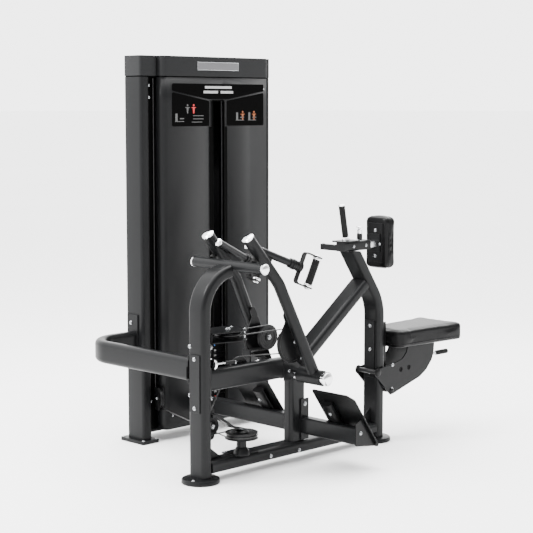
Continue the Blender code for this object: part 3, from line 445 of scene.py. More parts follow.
def lathe(profile, sides=40):
    """A profile of (radius, height) points turned about Z; open ends are closed on the axis."""
    first, last = profile[0], profile[-1]
    closed = first == last
    if closed:
        profile = profile[:-1]
    else:
        profile = [(0, first[1])] * (first[0] > 0) + profile + [(0, last[1])] * (last[0] > 0)
    turn = 2 * math.pi / sides
    bm = bmesh.new()
    rings = []
    for r, z in profile:
        angles = [k * turn for k in range(sides if r else 1)]
        rings.append([bm.verts.new((r * math.cos(a), r * math.sin(a), z)) for a in angles])
    for low, high in zip(rings, rings[1:] + rings[:1] * closed):
        for k in range(sides):
            corners = [ring[j % len(ring)] for ring, j in ((low, k), (low, k + 1), (high, k + 1), (high, k))]
            bm.faces.new(dict.fromkeys(corners))
    bmesh.ops.recalc_face_normals(bm, faces=bm.faces)
    return bm


def slab(outline, thick):
    """A flat outline extruded evenly to both sides of the local XY plane."""
    return loft([[(p[0], p[1], -thick / 2) for p in outline], [(p[0], p[1], thick / 2) for p in outline]])


def block(low, high, radius=0.0, steps=5):
    """An upright block between two corners, about its own middle, with its middle."""
    corners = rectangle((high[0] - low[0]) / 2, (high[1] - low[1]) / 2)
    outline = rounded(corners, radius, steps) if radius else corners
    return slab(outline, high[2] - low[2]), (Vector(low) + Vector(high)) / 2


def pipe(points, radius, sides=12, closed=False):
    """A round wire through points."""
    points = [Vector(p) for p in points]
    count = len(points)
    rings = []
    side = None
    for i, here in enumerate(points):
        before = points[i - 1] if i or closed else here
        after = points[(i + 1) % count] if i < count - 1 or closed else here
        heading = (after - before).normalized()
        if side is None:
            side = heading.orthogonal().normalized()
        side = (side - heading * side.dot(heading)).normalized()
        up = heading.cross(side)
        rings.append([here + (side * math.cos(a) + up * math.sin(a)) * radius
                      for a in (2 * math.pi * k / sides for k in range(sides))])
    return loft(rings, closed=closed)


def join(*parts):
    """Put several bmeshes, each with its matrix, into one."""
    whole = bmesh.new()
    for bm, matrix in parts:
        bm.transform(matrix)
        mesh = bpy.data.meshes.new("part")
        bm.to_mesh(mesh)
        bm.free()
        whole.from_mesh(mesh)
        bpy.data.meshes.remove(mesh)
    return whole


def placed(place=(0, 0, 0), turn=(0, 0, 0)):
    """The matrix that turns a part and then moves it."""
    return Matrix.Translation(Vector(place)) @ Euler(turn).to_matrix().to_4x4()


def outward(sign):
    """The rotation that turns local Z away from the machine's middle plane."""
    return TO_Y if sign > 0 else FACE_Y


def along(vector):
    """The rotation that turns local Z onto a direction."""
    return Vector(vector).to_track_quat("Z", "Y").to_euler()


def arc(centre, radius, start, end, plane, steps):
    """Points on an arc; plane names the two axes in which the angle runs."""
    points = []
    for k in range(steps + 1):
        angle = math.radians(start + (end - start) * k / steps)
        point = list(centre)
        point["xyz".index(plane[0])] += radius * math.cos(angle)
        point["xyz".index(plane[1])] += radius * math.sin(angle)
        points.append(tuple(point))
    return points


# ---------------------------------------------------------------- fasteners and caps
def hexagon(radius, sides):
    """A hexagon drawn with the points of a finer ring."""
    points = []
    for k in range(sides):
        turn = 2 * math.pi * k / sides
        reach = radius * math.cos(math.pi / 6) / math.cos((turn % (math.pi / 3)) - math.pi / 6)
        points.append((reach * math.cos(turn), reach * math.sin(turn)))
    return points


BOLTS = {}
BOLT_RADIUS, BOLT_SIDES = 0.0065, 24


def bolt_mesh(radius):
    """A washer under a domed head with a hexagon socket, its underside at z = 0."""
    if radius in BOLTS:
        return BOLTS[radius]
    rings = []
    for r, z in ((1.30, 0.0), (1.30, 0.16), (1.24, 0.22), (1.0, 0.22), (1.0, 0.42), (0.94, 0.60),
                 (0.80, 0.72), (0.62, 0.77)):
        rings.append([(*p, radius * z) for p in round_section(radius * r, BOLT_SIDES)])
    socket = hexagon(radius * 0.50, BOLT_SIDES)
    rings.append([(x, y, radius * 0.77) for x, y in socket])
    rings.append([(x, y, radius * 0.35) for x, y in socket])
    BOLTS[radius] = skin_mesh("bolt", loft(rings), STEEL, 30)
    return BOLTS[radius]


def bolt(name, place, facing, radius=BOLT_RADIUS, body="frame"):
    """A bolt head on a face that looks along a direction."""
    return piece(f"bolt_{name}", bolt_mesh(radius), place, along(facing), body)


def bolts(name, places, facing, radius=BOLT_RADIUS, body="frame"):
    """Numbered bolt heads on one face."""
    for k, place in enumerate(places):
        bolt(f"{name}_{k + 1}", place, facing, radius, body)


def cap(name, place, facing, radius, body="frame", mat=CHROME, bulge=0.35, seat=0.006):
    """A domed end cap with a rim, standing on a tube's end."""
    profile = [(0, radius * bulge + seat)]
    for k in range(1, 6):
        angle = math.pi / 2 * k / 6
        profile.append((radius * 0.90 * math.sin(angle), seat + radius * bulge * math.cos(angle)))
    profile += [(radius * 0.90, seat), (radius, seat - 0.0008), (radius, 0.0)]
    return make(name, lathe(profile), mat, place, along(facing), body)


def flange(name, low, high, body="frame", mat=PAINT, bevel=0.0012, corner=0.0, stands_for=()):
    """A plate between two corners, whose upright edges may be rounded."""
    bm, middle = block(low, high, corner)
    make(name, bm, mat, middle, body=body, bevel=bevel, stands_for=stands_for)


# ---------------------------------------------------------------- frame
def foot(node, x):
    """A round foot disc with two screws."""
    _, high = cad(node)
    r, h = (high.x - x), high.z
    profile = [(r - 0.006, h), (r - 0.002, h - 0.002), (r, h - 0.006), (r, 0.003), (r - 0.003, 0)]
    make(f"{node}_disc", lathe(profile, 96), PAINT, (x, 0, 0), stands_for=(node,))
    turn = math.radians(200)
    screws = [(x + 0.060 * math.cos(b), 0.060 * math.sin(b), h) for b in (turn, turn + math.pi)]
    bolts(node, screws, (0, 0, 1), 0.0055)


def uprights_and_beams():
    """The bent posts, the straight beams between them and the diagonal brace."""
    section = box_section(TUBE_THIN, TUBE_WIDE)
    foot("front_post_foot", 0.0)
    foot("seat_post_foot", SEAT_POST_X)
    low = cad("front_post")[0].z
    runs = [("line", POST_BEND_Z - low), ("bend", POST_BEND_RADIUS, POST_BEND_TURN, 32)]
    make("front_post_tube", sweep(section, runs), PAINT, (0, 0, low), stands_for=("front_post",))
    rise = SEAT_POST_BEND_RADIUS * math.sin(SEAT_POST_LEAN)
    upper = (SLEEVE_Z - SLEEVE_TALL / 2 - MITRE_GAP - SEAT_POST_BEND_Z - rise) / math.cos(SEAT_POST_LEAN)
    runs = [("line", SEAT_POST_BEND_Z - low), ("bend", SEAT_POST_BEND_RADIUS, SEAT_POST_LEAN, 20),
            ("line", upper)]
    make("seat_post_tube", sweep(section, runs, shear_end=lambda x: x * math.tan(SEAT_POST_LEAN)), PAINT,
         (SEAT_POST_X, 0, low), (0, 0, math.pi), stands_for=("seat_post",))
    for node, wide, tall, turn in (("base_beam", TUBE_THIN, TUBE_WIDE, TO_X),
                                   ("upper_beam", UPPER_BEAM_TALL, TUBE_THIN, TO_X),
                                   ("left_cross_beam", 0.050, 0.070, TO_Y),
                                   ("right_cross_beam", 0.050, 0.070, TO_Y),
                                   ("mid_post", TUBE_WIDE, TUBE_THIN, (0, 0, 0))):
        straight_tube(node, wide, tall, turn)
    brace_low, brace_high = cad("diagonal_brace")
    start_x = UPPER_BEAM_END + MITRE_GAP
    thick = TUBE_THIN / math.cos(BRACE_ANGLE)
    length = (brace_high.x - start_x) / math.cos(BRACE_ANGLE)
    start_z = brace_low.z + thick / 2
    run = [("line", length - TUBE_THIN / 2 * math.tan(BRACE_ANGLE))]
    make("diagonal_brace_tube", sweep(section, run, lambda x: -x * math.tan(BRACE_ANGLE)), PAINT,
         (start_x, 0, start_z), (0, math.pi / 2 - BRACE_ANGLE, 0), stands_for=("diagonal_brace",))


def straight_tube(node, wide, tall, turn, mat=PAINT, radius=0.0):
    """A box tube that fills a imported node's box along one axis."""
    low, high = cad(node)
    middle, size = (low + high) / 2, high - low
    axis = Euler(turn).to_matrix() @ Vector((0, 0, 1))
    length = abs(size.dot(axis))
    corner = radius or (TUBE_ROUND if max(wide, tall) > 0.08 else 0.010)
    make(f"{node}_tube", sweep(box_section(wide, tall, corner), [("line", length)]), mat,
         middle - axis * length / 2, turn, stands_for=(node,))


def stop_and_pivots():
    """The stop tube, and on each side a pivot shaft with its cap and the arm's bumper."""
    rod = mirrored([(STOP_RADIUS, STOP_HALF)])
    make("stop_tube_bar", lathe(rod, 48), PAINT, (STOP_X, 0, STOP_Z), TO_Y, stands_for=("stop_tube",))
    for side, sign in SIDES:
        cap(f"stop_cap_{side}", (STOP_X, sign * STOP_HALF, STOP_Z), (0, sign, 0), STOP_RADIUS + 0.001)
        low, high = cad(f"{side}_pivot_shaft")
        inner, outer = (low.y, high.y) if sign > 0 else (-high.y, -low.y)
        profile = [(0.0232, outer), (0.0252, outer - 0.002), (0.0252, inner)]
        make(f"pivot_shaft_{side}", lathe(profile, 48), CHROME, (PIVOT_X, 0, PIVOT_Z), outward(sign),
             stands_for=(f"{side}_pivot_shaft",))
        cap(f"pivot_cap_{side}", (PIVOT_X, sign * outer, PIVOT_Z), (0, sign, 0), 0.030, bulge=0.28)
        low, high = cad(f"{side}_arm_bumper")
        run = (ARM_BEND - ARM_TOP).normalized()
        normal = Vector((-run.z, 0, run.x))
        thick = 0.0136
        profile = [(0.011, thick / 2), (0.0138, thick / 4), (0.014, 0), (0.0138, -thick / 4),
                   (0.012, -thick / 2)]
        make(f"arm_bumper_{side}", lathe(profile, 32), RUBBER, (low + high) / 2, along(normal),
             stands_for=(f"{side}_arm_bumper",))


def footrests():
    """Ribbed foot plates on the cross beams, each with a stiffening rib behind and an ear below."""
    top, bottom = Vector(FOOTREST_TOP), Vector(FOOTREST_LOW)
    slope = math.atan2(top.y - bottom.y, bottom.x - top.x)
    length = (top - bottom).length
    half = (FOOTREST_OUTER - FOOTREST_INNER) / 2
    turn = Euler((0, slope, 0)).to_matrix()
    for side, sign in SIDES:
        outline = [(-length / 2, -sign * half), (length / 2 - 0.055, -sign * half),
                   (length / 2, -sign * half + sign * 0.050), (length / 2, sign * half),
                   (-length / 2 + 0.020, sign * half), (-length / 2, sign * (half - 0.035))]
        if sign < 0:
            outline.reverse()
        middle = Vector(((top.x + bottom.x) / 2, sign * (FOOTREST_OUTER + FOOTREST_INNER) / 2,
                         (top.y + bottom.y) / 2))
        make(f"footrest_{side}_plate", slab(rounded(outline, 0.014), 0.0055), DARK, middle, (0, slope, 0),
             bevel=0.0015, stands_for=(f"{side}_footrest",))
        tread = []
        for k in range(9):
            x = -length / 2 + 0.030 + k * 0.025
            rib = slab(rounded(rectangle(0.004, half - 0.022), 0.0035, 4), 0.003)
            tread.append((rib, placed((x, 0, 0))))
        face = middle + turn @ Vector((0, 0, 0.0042))
        make(f"footrest_{side}_tread", join(*tread), RUBBER, face, (0, slope, 0))
        rib = sweep(box_section(0.030, 0.060, 0.014, 6), [("line", length - 0.085)])
        back = middle + turn @ Vector((-length / 2 + 0.052, sign * -0.046, -0.0165))
        make(f"footrest_{side}_rib", rib, DARK, back, (0, slope + math.pi / 2, 0))
        head = middle + turn @ Vector((-0.042, sign * -0.038, -0.0315))
        bolt(f"footrest_{side}", head, turn @ Vector((0, 0, -1)), 0.0062)
        face = sign * (max(abs(corner.y) for corner in cad(f"{side}_cross_beam")) + 0.0030)
        ear = [(0.6600, 0.0960), (0.5690, 0.2230), (0.5330, 0.2050), (0.5330, 0.1135)]
        make(f"footrest_{side}_ear", slab(rounded(ear, 0.006, 4), 0.005), DARK, (0, face, 0), FACE_Y,
             bevel=0.001)
        bolt(f"footrest_{side}_ear", (0.5620, face + sign * 0.0025, 0.1640), (0, sign, 0), 0.0062)


def guard():
    """The rail that bends round from the front post to the tower."""
    start = TUBE_WIDE / 2 + GAP
    runs = [("line", GUARD_RUN_Y - GUARD_BEND - start), ("bend", GUARD_BEND, math.pi / 2, 28),
            ("line", COLUMN_X[0] - TUBE_THIN / 2 - GAP - GUARD_BEND)]
    make("guard_rail_tube", sweep(box_section(TUBE_THIN, GUARD_TALL, 0.020), runs), PAINT,
         (0, start, GUARD_Z), TO_Y, stands_for=("guard_rail",))
    face = COLUMN_X[0] - TUBE_THIN / 2
    flange("guard_column_plate", (face - 0.006, 0.690, 0.398), (face - 0.0002, 0.760, 0.572))
    bolt("guard_column_plate", (face - 0.006, 0.735, 0.534), (-1, 0, 0))
    # A thin black plate on the rail's face: painted shade for the dark opening of a slot.
    flange("guard_slot_painted_shade", (-0.0262, 0.046, 0.410), (-0.0248, 0.052, 0.462), mat=BLACK_AND_PAINTED_SHADE, bevel=0)


def face_plates():
    """Bolted flanges where the tubes of the frame meet."""
    half = TUBE_THIN / 2
    flange("front_plate", (-half - 0.006, -0.029, 0.285), (-half, 0.029, 0.515))
    bolts("front_plate", [(-half - 0.006, 0, z) for z in (0.498, 0.302)], (-1, 0, 0))
    flange("guard_plate_near", (-0.020, 0.045, 0.395), (0.020, 0.052, 0.505))
    bolts("guard_plate", [(-half, 0.032, z) for z in (0.545, 0.350)], (-1, 0, 0))
    flange("upper_plate", (half, -0.034, 0.350), (half + 0.006, 0.034, 0.460))
    bolts("upper_plate", [(half + 0.006, -0.030, z) for z in (0.540, 0.338)], (0.3, -1, 0))
    bolts("cross_flange", [(0.563, -0.0315, z) for z in (0.239, 0.120)], (0, -1, 0))
    flange("cross_plate_near", (0.540, -0.0315, 0.088), (0.586, -0.0255, 0.262))
    flange("cross_plate_far", (0.540, 0.0255, 0.088), (0.586, 0.0315, 0.262))
    bolt("pivot_box", (0.470, -0.0255, 0.392), (0, -1, 0))
    flange("pivot_box_plate", (0.440, -0.0275, 0.352), (0.5845, -0.0250, 0.447))
    bolts("base_beam", [(0.3476, -0.0455, 0.0545), (0.5146, -0.0455, 0.0511)], (0, -1, 0), 0.0062)
    for name, x, sign in (("front", 0.0, 1), ("seat", SEAT_POST_X, -1)):
        gusset = [(x + sign * 0.0255, 0.0855), (x + sign * 0.110, 0.0855), (x + sign * 0.0255, 0.150)]
        if sign < 0:
            gusset.reverse()
        make(f"gusset_{name}", slab(gusset, 0.006), PAINT, (0, 0, 0), FACE_Y, bevel=0.001)
    flange("seat_plate", (SEAT_POST_X - half - 0.006, -0.027, 0.290), (SEAT_POST_X - half, 0.027, 0.545))
    bolts("seat_plate", [(SEAT_POST_X - half - 0.006, -0.004, z) for z in (0.520, 0.415, 0.312)], (-1, 0, 0))
    rack_face = SEAT_POST_X + half + 0.0200
    # Each rack hole is a thin black disc: painted shade for the hole's dark inside.
    for k in range(RACK_HOLES):
        z = 0.318 + k * RACK_PITCH
        profile = [(0.0058, 0.0003), (0.0062, 0)]
        make(f"rack_hole_shade_{k + 1}", lathe(profile, 20), BLACK_AND_PAINTED_SHADE, (rack_face, 0, z), TO_X)
    flange("seat_rack", (SEAT_POST_X + half + 0.0005, -0.032, 0.300), (rack_face, 0.032, 0.532), mat=DARK)
    disc = [(0.020, 0.010), (0.023, 0.0075), (0.023, 0.0025), (0.020, 0)]
    make("lock_knob", lathe(disc, 40), CHROME, (0.030, -0.038, 0.475), TO_X)
    make("lock_rod", pipe([(0.036, -0.038, 0.475), (0.109, -0.032, 0.4712)], 0.0045), CHROME)
    make("lock_clamp", pipe([(0.105, -0.032, 0.4714), (0.165, -0.024, 0.466)], 0.0078), DARK)
    bolt("lock_clamp", (0.165, -0.028, 0.4655), (0.2, -1, 0.2), 0.0055)


# ---------------------------------------------------------------- weight tower
def columns():
    """The two columns of the tower on their bolted feet, and the beam between them."""
    for side, x in zip(("left", "right"), COLUMN_X):
        straight_tube(f"{side}_column", TUBE_THIN, COLUMN_DEEP, (0, 0, 0), PANEL, 0.014)
        low, high = cad(f"{side}_column_foot")
        flange(f"{side}_column_foot_plate", low, high, bevel=0.002, corner=0.010,
               stands_for=(f"{side}_column_foot",))
        screws = [(x + dx, COLUMN_Y + dy, high.z) for dy in (-0.068, 0.068) for dx in (-0.036, 0.036)]
        bolts(f"{side}_column_foot", screws, (0, 0, 1), 0.0055)
    straight_tube("tower_base", 0.050, 0.060, TO_X)


def sheet_with_slot(name, path, heights, hole, stands_for):
    """A bent sheet; hole names the path span and the height band that are left out."""
    bm = bmesh.new()
    rows = [[bm.verts.new((p[0], p[1], z)) for p in path] for z in heights]
    for j, (low, high) in enumerate(zip(rows, rows[1:])):
        for i in range(len(path) - 1):
            if (i, j) != hole:
                bm.faces.new((low[i], low[i + 1], high[i + 1], high[i]))
    bmesh.ops.recalc_face_normals(bm, faces=bm.faces)
    obj = make(name, bm, PANEL, (0, 0, 0), body=None, stands_for=stands_for)
    shell = obj.modifiers.new("wall", "SOLIDIFY")
    shell.thickness = SHEET_THICK
    shell.offset = 0.0
    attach(obj, "frame")
    return obj


def bend_path(points, radius, steps=10):
    """An open path in plan whose inner corners are rounded."""
    closed = rounded(points + [(points[-1][0], points[0][1] + 1.0)],
                     [0] + [radius] * (len(points) - 2) + [0, 0], steps)
    return [tuple(p) for p in closed[:-1]]


def shrouds():
    """The front sheet with its slot, the rear sheet, their edge strips and screws; the black strips in the
    side gaps are painted shade.
    """
    top = CAP_LOW - GAP
    left_slot, right_slot = SLOT_X - SLOT_WIDE / 2, SLOT_X + SLOT_WIDE / 2
    corner = [(SHROUD_LEFT, SHROUD_Y + 0.055), (SHROUD_LEFT, SHROUD_Y), (left_slot, SHROUD_Y)]
    path = bend_path(corner, SHEET_BEND)
    hole = (len(path) - 1, 1)
    path += [(right_slot, SHROUD_Y), (SHROUD_RIGHT, SHROUD_Y)]
    sheet_with_slot("front_shroud_sheet", path, (SHROUD_LOW, SLOT_LOW, SLOT_TOP, top), hole,
                    ("front_shroud",))
    rear = [(COLUMN_X[0] + 0.010, REAR_Y - REAR_RETURN), (COLUMN_X[0] + 0.010, REAR_Y),
            (COLUMN_X[1] - 0.010, REAR_Y), (COLUMN_X[1] - 0.010, REAR_Y - REAR_RETURN)]
    sheet_with_slot("rear_shroud_sheet", bend_path(rear, SHEET_BEND), (SHROUD_LOW, top), None,
                    ("rear_shroud",))
    face = SHROUD_Y - 0.0015
    rim = rounded([(right_slot, SLOT_TOP), (left_slot, SLOT_TOP), (left_slot, SLOT_LOW),
                   (right_slot, SLOT_LOW)], 0.006, 5)
    make("slot_edging", pipe([(p[0], face, p[1]) for p in rim], 0.0030, 10, closed=True), BLACK_AND_PAINTED_SHADE)
    for side, x in (("left", left_slot - 0.010), ("right", right_slot + 0.010)):
        flange(f"slot_band_{side}", (x - 0.0075, face - 0.0012, SLOT_LOW - 0.01),
               (x + 0.0075, face - 0.0002, 1.390), mat=BLACK_AND_PAINTED_SHADE, bevel=0.0003)
    # Black strips in the gaps between the shrouds and the columns: painted shade for the dark inside of the
    # tower seen through the gaps.
    flange("right_gap_painted_shade", (SHROUD_RIGHT + 0.0005, SHROUD_Y + 0.004, SHROUD_LOW),
           (COLUMN_X[1] - 0.0255, SHROUD_Y + 0.030, top), mat=BLACK_AND_PAINTED_SHADE, bevel=0.001)
    flange("left_gap_painted_shade", (COLUMN_X[0] + 0.0255, SHROUD_Y + 0.050, SHROUD_LOW),
           (SHROUD_LEFT - 0.002, SHROUD_Y + 0.058, top), mat=BLACK_AND_PAINTED_SHADE, bevel=0.001)
    bolts("shroud_left", [(0.320, SHROUD_Y + 0.0495, z) for z in (1.572, 1.520, 0.180)], (0, -1, 0), 0.0048)
    screws = [(SHROUD_RIGHT - 0.018, face, z) for z in (1.560, 0.820, 0.110)]
    screws.append((SHROUD_LEFT + 0.045, face, 0.110))
    bolts("shroud_front", screws, (0, -1, 0), 0.0036)


def cap_outline(grow=0.0):
    """The cap's outline in plan, which follows the columns and the shrouds below it."""
    lip = CAP_LIP + grow
    left = COLUMN_X[0] - TUBE_THIN / 2 - lip
    right = COLUMN_X[1] + TUBE_THIN / 2 + lip
    near, far = COLUMN_Y - COLUMN_DEEP / 2 - lip, COLUMN_Y + COLUMN_DEEP / 2 + lip
    front, rear = SHROUD_Y - SHEET_THICK / 2 - lip, REAR_Y + SHEET_THICK / 2 + lip
    inset, notch = 0.032, 0.010
    corner = SHROUD_RIGHT + 0.004
    points = [(right, near), (corner, near), (corner, front), (SHROUD_LEFT - lip, front),
              (SHROUD_LEFT - lip, near + notch), (SHROUD_LEFT - notch, near + notch),
              (SHROUD_LEFT - notch, near), (left, near), (left, far), (left + inset, far),
              (left + inset, rear), (right - inset, rear), (right - inset, far), (right, far)]
    radii = [0.014, 0.002, 0.008, 0.026, 0.001, 0.001, 0.003, 0.014, 0.014, 0.002, 0.016, 0.016, 0.002,
             0.014]
    return rounded(points, radii)


def tower_top():
    """The cap of the tower with a blank badge."""
    lip = 0.005
    body = make("tower_cap_shell", slab(cap_outline(), TOWER_TOP - CAP_LOW - lip), CAP_PANEL,
                (0, 0, (CAP_LOW + lip + TOWER_TOP) / 2), bevel=0.003,
                stands_for=("tower_cap",))
    body.modifiers["edges"].segments = 4
    # A black band under the cap: painted shade for the recessed gap between the cap and the shrouds.
    make("tower_cap_gap_painted_shade", slab(cap_outline(-0.002), lip), BLACK_AND_PAINTED_SHADE, (0, 0, CAP_LOW + lip / 2))
    front = SHROUD_Y - SHEET_THICK / 2 - CAP_LIP
    bm, _ = block((-BADGE_HALF, -0.0007, -BADGE_TALL / 2), (BADGE_HALF, 0.0007, BADGE_TALL / 2))
    make("badge_blank", bm, BADGE, (BADGE_X, front - 0.0009, BADGE_Z), bevel=0.0005)
    rim = [(p[0], 0, p[1]) for p in rounded(rectangle(BADGE_HALF, BADGE_TALL / 2), 0.003, 4)]
    make("badge_rim", pipe(rim, 0.0009, 8, closed=True), STEEL, (BADGE_X, front - 0.0012, BADGE_Z))


def bar(name, x, z, wide, tall, y, mat):
    """A printed bar that stands for a line of text."""
    make(name, slab(rectangle(wide / 2, tall), INK_THICK), mat, (x, y, z), FACE_Y)


def placard():
    """A black instruction board: a header with a V, and two panels of generic pictures."""
    front = cad("instruction_placard")[0].y
    left, right, low, top = 0.409, 0.965, 1.394, 1.581
    inner_left, inner_right, dip, shelf = 0.626, 0.734, 1.513, 1.550
    header = [(right, top), (left, top), (left, shelf), (inner_left - 0.006, dip),
              (inner_right + 0.006, dip), (right, shelf)]
    panel_left = [(inner_left, dip - 0.008), (left, shelf - 0.007), (left, low), (inner_left, low)]
    panel_right = [(right, shelf - 0.007), (inner_right, dip - 0.008), (inner_right, low), (right, low)]
    for name, board in (("header", header), ("left", panel_left), ("right", panel_right)):
        stands = ("instruction_placard",) if name == "header" else ()
        make(f"instruction_board_{name}", slab(rounded(board, 0.006, 5), 0.0014), BLACK_AND_PAINTED_SHADE,
             (0, front + 0.0007, 0), FACE_Y, stands_for=stands)
    edge = front - 0.0004
    for side, x, z, inks in (("left", 0.515, 1.470, (GREY_INK, RED_INK)),
                             ("right", 0.868, 1.440, (ORANGE_INK, ORANGE_INK))):
        gap = 0.018 if side == "left" else 0.036
        for k, tint in enumerate(inks):
            figure(f"figure_{side}_{k + 1}", x + gap * (2 * k - 1), z, edge, tint)
    machine_icon("icon_left", 0.450, 1.428, edge)
    machine_icon("icon_right_1", 0.815, 1.432, edge)
    machine_icon("icon_right_2", 0.892, 1.432, edge)
    for k, x in enumerate((0.560, 0.560, 0.552)):
        bar(f"caption_bar_{k + 1}", x, 1.440 - 0.014 * k, 0.062, 0.0016, edge, GREY_INK)
    words = ((0.682, 1.5655, 0.162), (0.636, 1.5445, 0.086), (0.734, 1.5445, 0.076))
    for k, (x, z, wide) in enumerate(words):
        bar(f"header_bar_{k + 1}", x, z, wide, 0.0055, edge, WHITE_INK)


def figure(name, x, z, y, mat):
    """A generic standing figure: a dot over a tapered bar with two arms."""
    dot = slab(round_section(0.0045, 20), INK_THICK)
    body = slab(taper(0.006, 0.008, 0.003, -0.020), INK_THICK)
    limbs = slab(taper(0.013, 0.0075, 0.013, 0.0045), INK_THICK)
    whole = join((dot, placed((0, 0.016, 0))), (body, placed()), (limbs, placed((0, 0, 0.0001))))
    make(name, whole, mat, (x, y, z), FACE_Y)


def machine_icon(name, x, z, y):
    """A generic drawing of a seat, a post and a tower."""
    tower = slab(taper(0.006, 0.022, 0.006, -0.012), INK_THICK)
    bench = slab(taper(0.012, 0.002, 0.012, -0.003), INK_THICK)
    base = slab(rectangle(0.026, 0.0015), INK_THICK)
    whole = join((tower, placed((-0.018, 0, 0))), (bench, placed((0.014, 0, 0))),
                 (base, placed((0, -0.013, 0))))
    make(name, whole, GREY_INK, (x, y, z), FACE_Y)


def stack():
    """Twelve thin plates under a top plate, two guide rods, the stem and its pin."""
    for side, _ in SIDES:
        low, high = cad(f"{side}_guide_rod")
        rod = lathe([(0.0125, high.z), (0.0125, low.z)], 32)
        make(f"guide_rod_{side}", rod, DARK_STEEL, ((low.x + high.x) / 2, STACK_Y, 0),
             stands_for=(f"{side}_guide_rod",))
    for k in range(3):
        node = f"weight_plate_{k + 1}"
        low, high = cad(node)
        pitch = (high.z - low.z) / 4
        slabs = []
        for j in range(4):
            base = low.z + j * pitch
            bm, middle = block((low.x, low.y, base + 0.0006), (high.x, high.y, base + pitch - 0.0006), 0.006)
            slabs.append((bm, placed(middle - (low + high) / 2)))
        make(f"stack_plates_{k + 1}", join(*slabs), IRON, (low + high) / 2, body="weight_carriage",
             bevel=0.0015, stands_for=(node,))
        for j in range(4):
            z = low.z + (j + 0.5) * pitch
            mat = RED_INK if (k, j) == (0, 2) else WHITE_INK
            flange(f"plate_mark_{k + 1}_{j + 1}", (STACK_X + 0.013, low.y - 0.0006, z - 0.004),
                   (STACK_X + 0.027, low.y - 0.0001, z + 0.004), "weight_carriage", mat=mat, bevel=0)
            if (k, j) != (0, 0):
                # A shallow black dish: painted shade for the pin hole's dark inside.
                hole = lathe([(0.0045, 0.0008), (0.0058, 0.0002), (0.0058, 0)], 20)
                make(f"pin_hole_shade_{k + 1}_{j + 1}", hole, BLACK_AND_PAINTED_SHADE, (STACK_X, low.y, z), FACE_Y,
                     "weight_carriage")
    low, high = cad("top_weight_plate")
    top_low = cad("weight_plate_3")[1].z + GAP
    flange("top_plate", (low.x, low.y, top_low), (high.x, high.y, top_low + 0.036), "weight_carriage",
           IRON, 0.003, 0.008, ("top_weight_plate",))
    profile = [(0.010, high.z), (0.014, high.z - 0.004), (0.014, top_low + 0.045),
               (0.022, top_low + 0.042), (0.022, top_low + 0.036)]
    make("stem_head", lathe(profile, 32), CHROME, (STACK_X, STACK_Y, 0), body="weight_carriage")
    flange("blue_mark", (STACK_X - 0.020, low.y - 0.0006, top_low + 0.008),
           (STACK_X + 0.020, low.y - 0.0001, top_low + 0.016), "weight_carriage", mat=BLUE_INK, bevel=0)
    low, high = cad("selector_pin")
    tail = high.y - low.y
    head = tail - 0.028
    profile = [(0, 0), (0.0035, 0.0005), (0.0045, 0.003), (0.0045, head), (0.0100, head + 0.001),
               (0.0128, head + 0.004), (0.0130, head + 0.008), (0.0112, head + 0.012),
               (0.0112, head + 0.016),
               (0.0130, head + 0.020), (0.0126, head + 0.024), (0.0100, head + 0.0275), (0, head + 0.028)]
    make("selector_pin_knob", lathe(profile, 40), CHROME, (STACK_X, high.y, PIN_Z), FACE_Y,
         "selector_pin", stands_for=("selector_pin",))


# ---------------------------------------------------------------- pulleys and cable
def wheel(name, groove, thick, place, turn, body, node, wide_floor=0.0):
    """A grooved nylon wheel with a dished web and a bearing."""
    floor = wide_floor or 0.0023
    seat, rim, half = groove - CABLE_RADIUS - 0.0009, groove + 0.003, thick / 2
    side = [(0.012, half * 0.62), (0.0125, half), (0.017, half), (0.0175, half * 0.55),
            (seat * 0.72, half * 0.55), (seat * 0.80, half), (rim - 0.001, half), (rim, half - 0.001)]
    groove = [(rim, half - 0.0015), (seat + 0.0006, floor), (seat, floor * 0.5)]
    make(name, lathe(mirrored(side + groove), 56), NYLON, place, turn, body, stands_for=(node,))


def axle(name, place, axis, half, body="frame", radius=0.0075):
    """A bolt right through a pulley: a steel head on one side, a nut on the other."""
    axis = Vector(axis).normalized()
    make(f"{name}_axle", pipe([Vector(place) - axis * half, Vector(place) + axis * half], 0.005, 20), STEEL,
         body=body)
    bolt(f"{name}_head", Vector(place) + axis * half, axis, radius, body)
    bolt(f"{name}_nut", Vector(place) - axis * half, -axis, radius, body)


def pulleys():
    """Every grooved wheel; those of the arms turn on axles of their own."""
    for name, groove, place, turn in (("front", FRONT_GROOVE, FRONT_PULLEY, (0, 0, 0)),
                                      ("drop", DROP_GROOVE, DROP_PULLEY, FACE_Y),
                                      ("turn", TURN_GROOVE, TURN_PULLEY, FACE_Y),
                                      ("floor", FLOOR_GROOVE, FLOOR_PULLEY, (0, 0, 0)),
                                      ("tower", TOWER_GROOVE, TOWER_PULLEY, FACE_TOWER)):
        thick, flat = (FLOOR_WHEEL_THICK, FLOOR_WHEEL_FLAT) if name == "floor" else (WHEEL_THICK, 0.0)
        wheel(f"{name}_wheel", groove, thick, place, turn, f"{name}_pulley", f"{name}_pulley", flat)
    for side, sign in SIDES:
        wheel(f"{side}_arm_wheel", WHEEL_GROOVE, WHEEL_THICK, (WHEEL_X, sign * WHEEL_Y, WHEEL_Z), FACE_Y,
              f"{side}_arm_pulley", f"{side}_arm_pulley")
        axle(f"{side}_arm_wheel", (WHEEL_X, sign * 0.0755, WHEEL_Z), (0, sign, 0), 0.0255, f"{side}_arm")


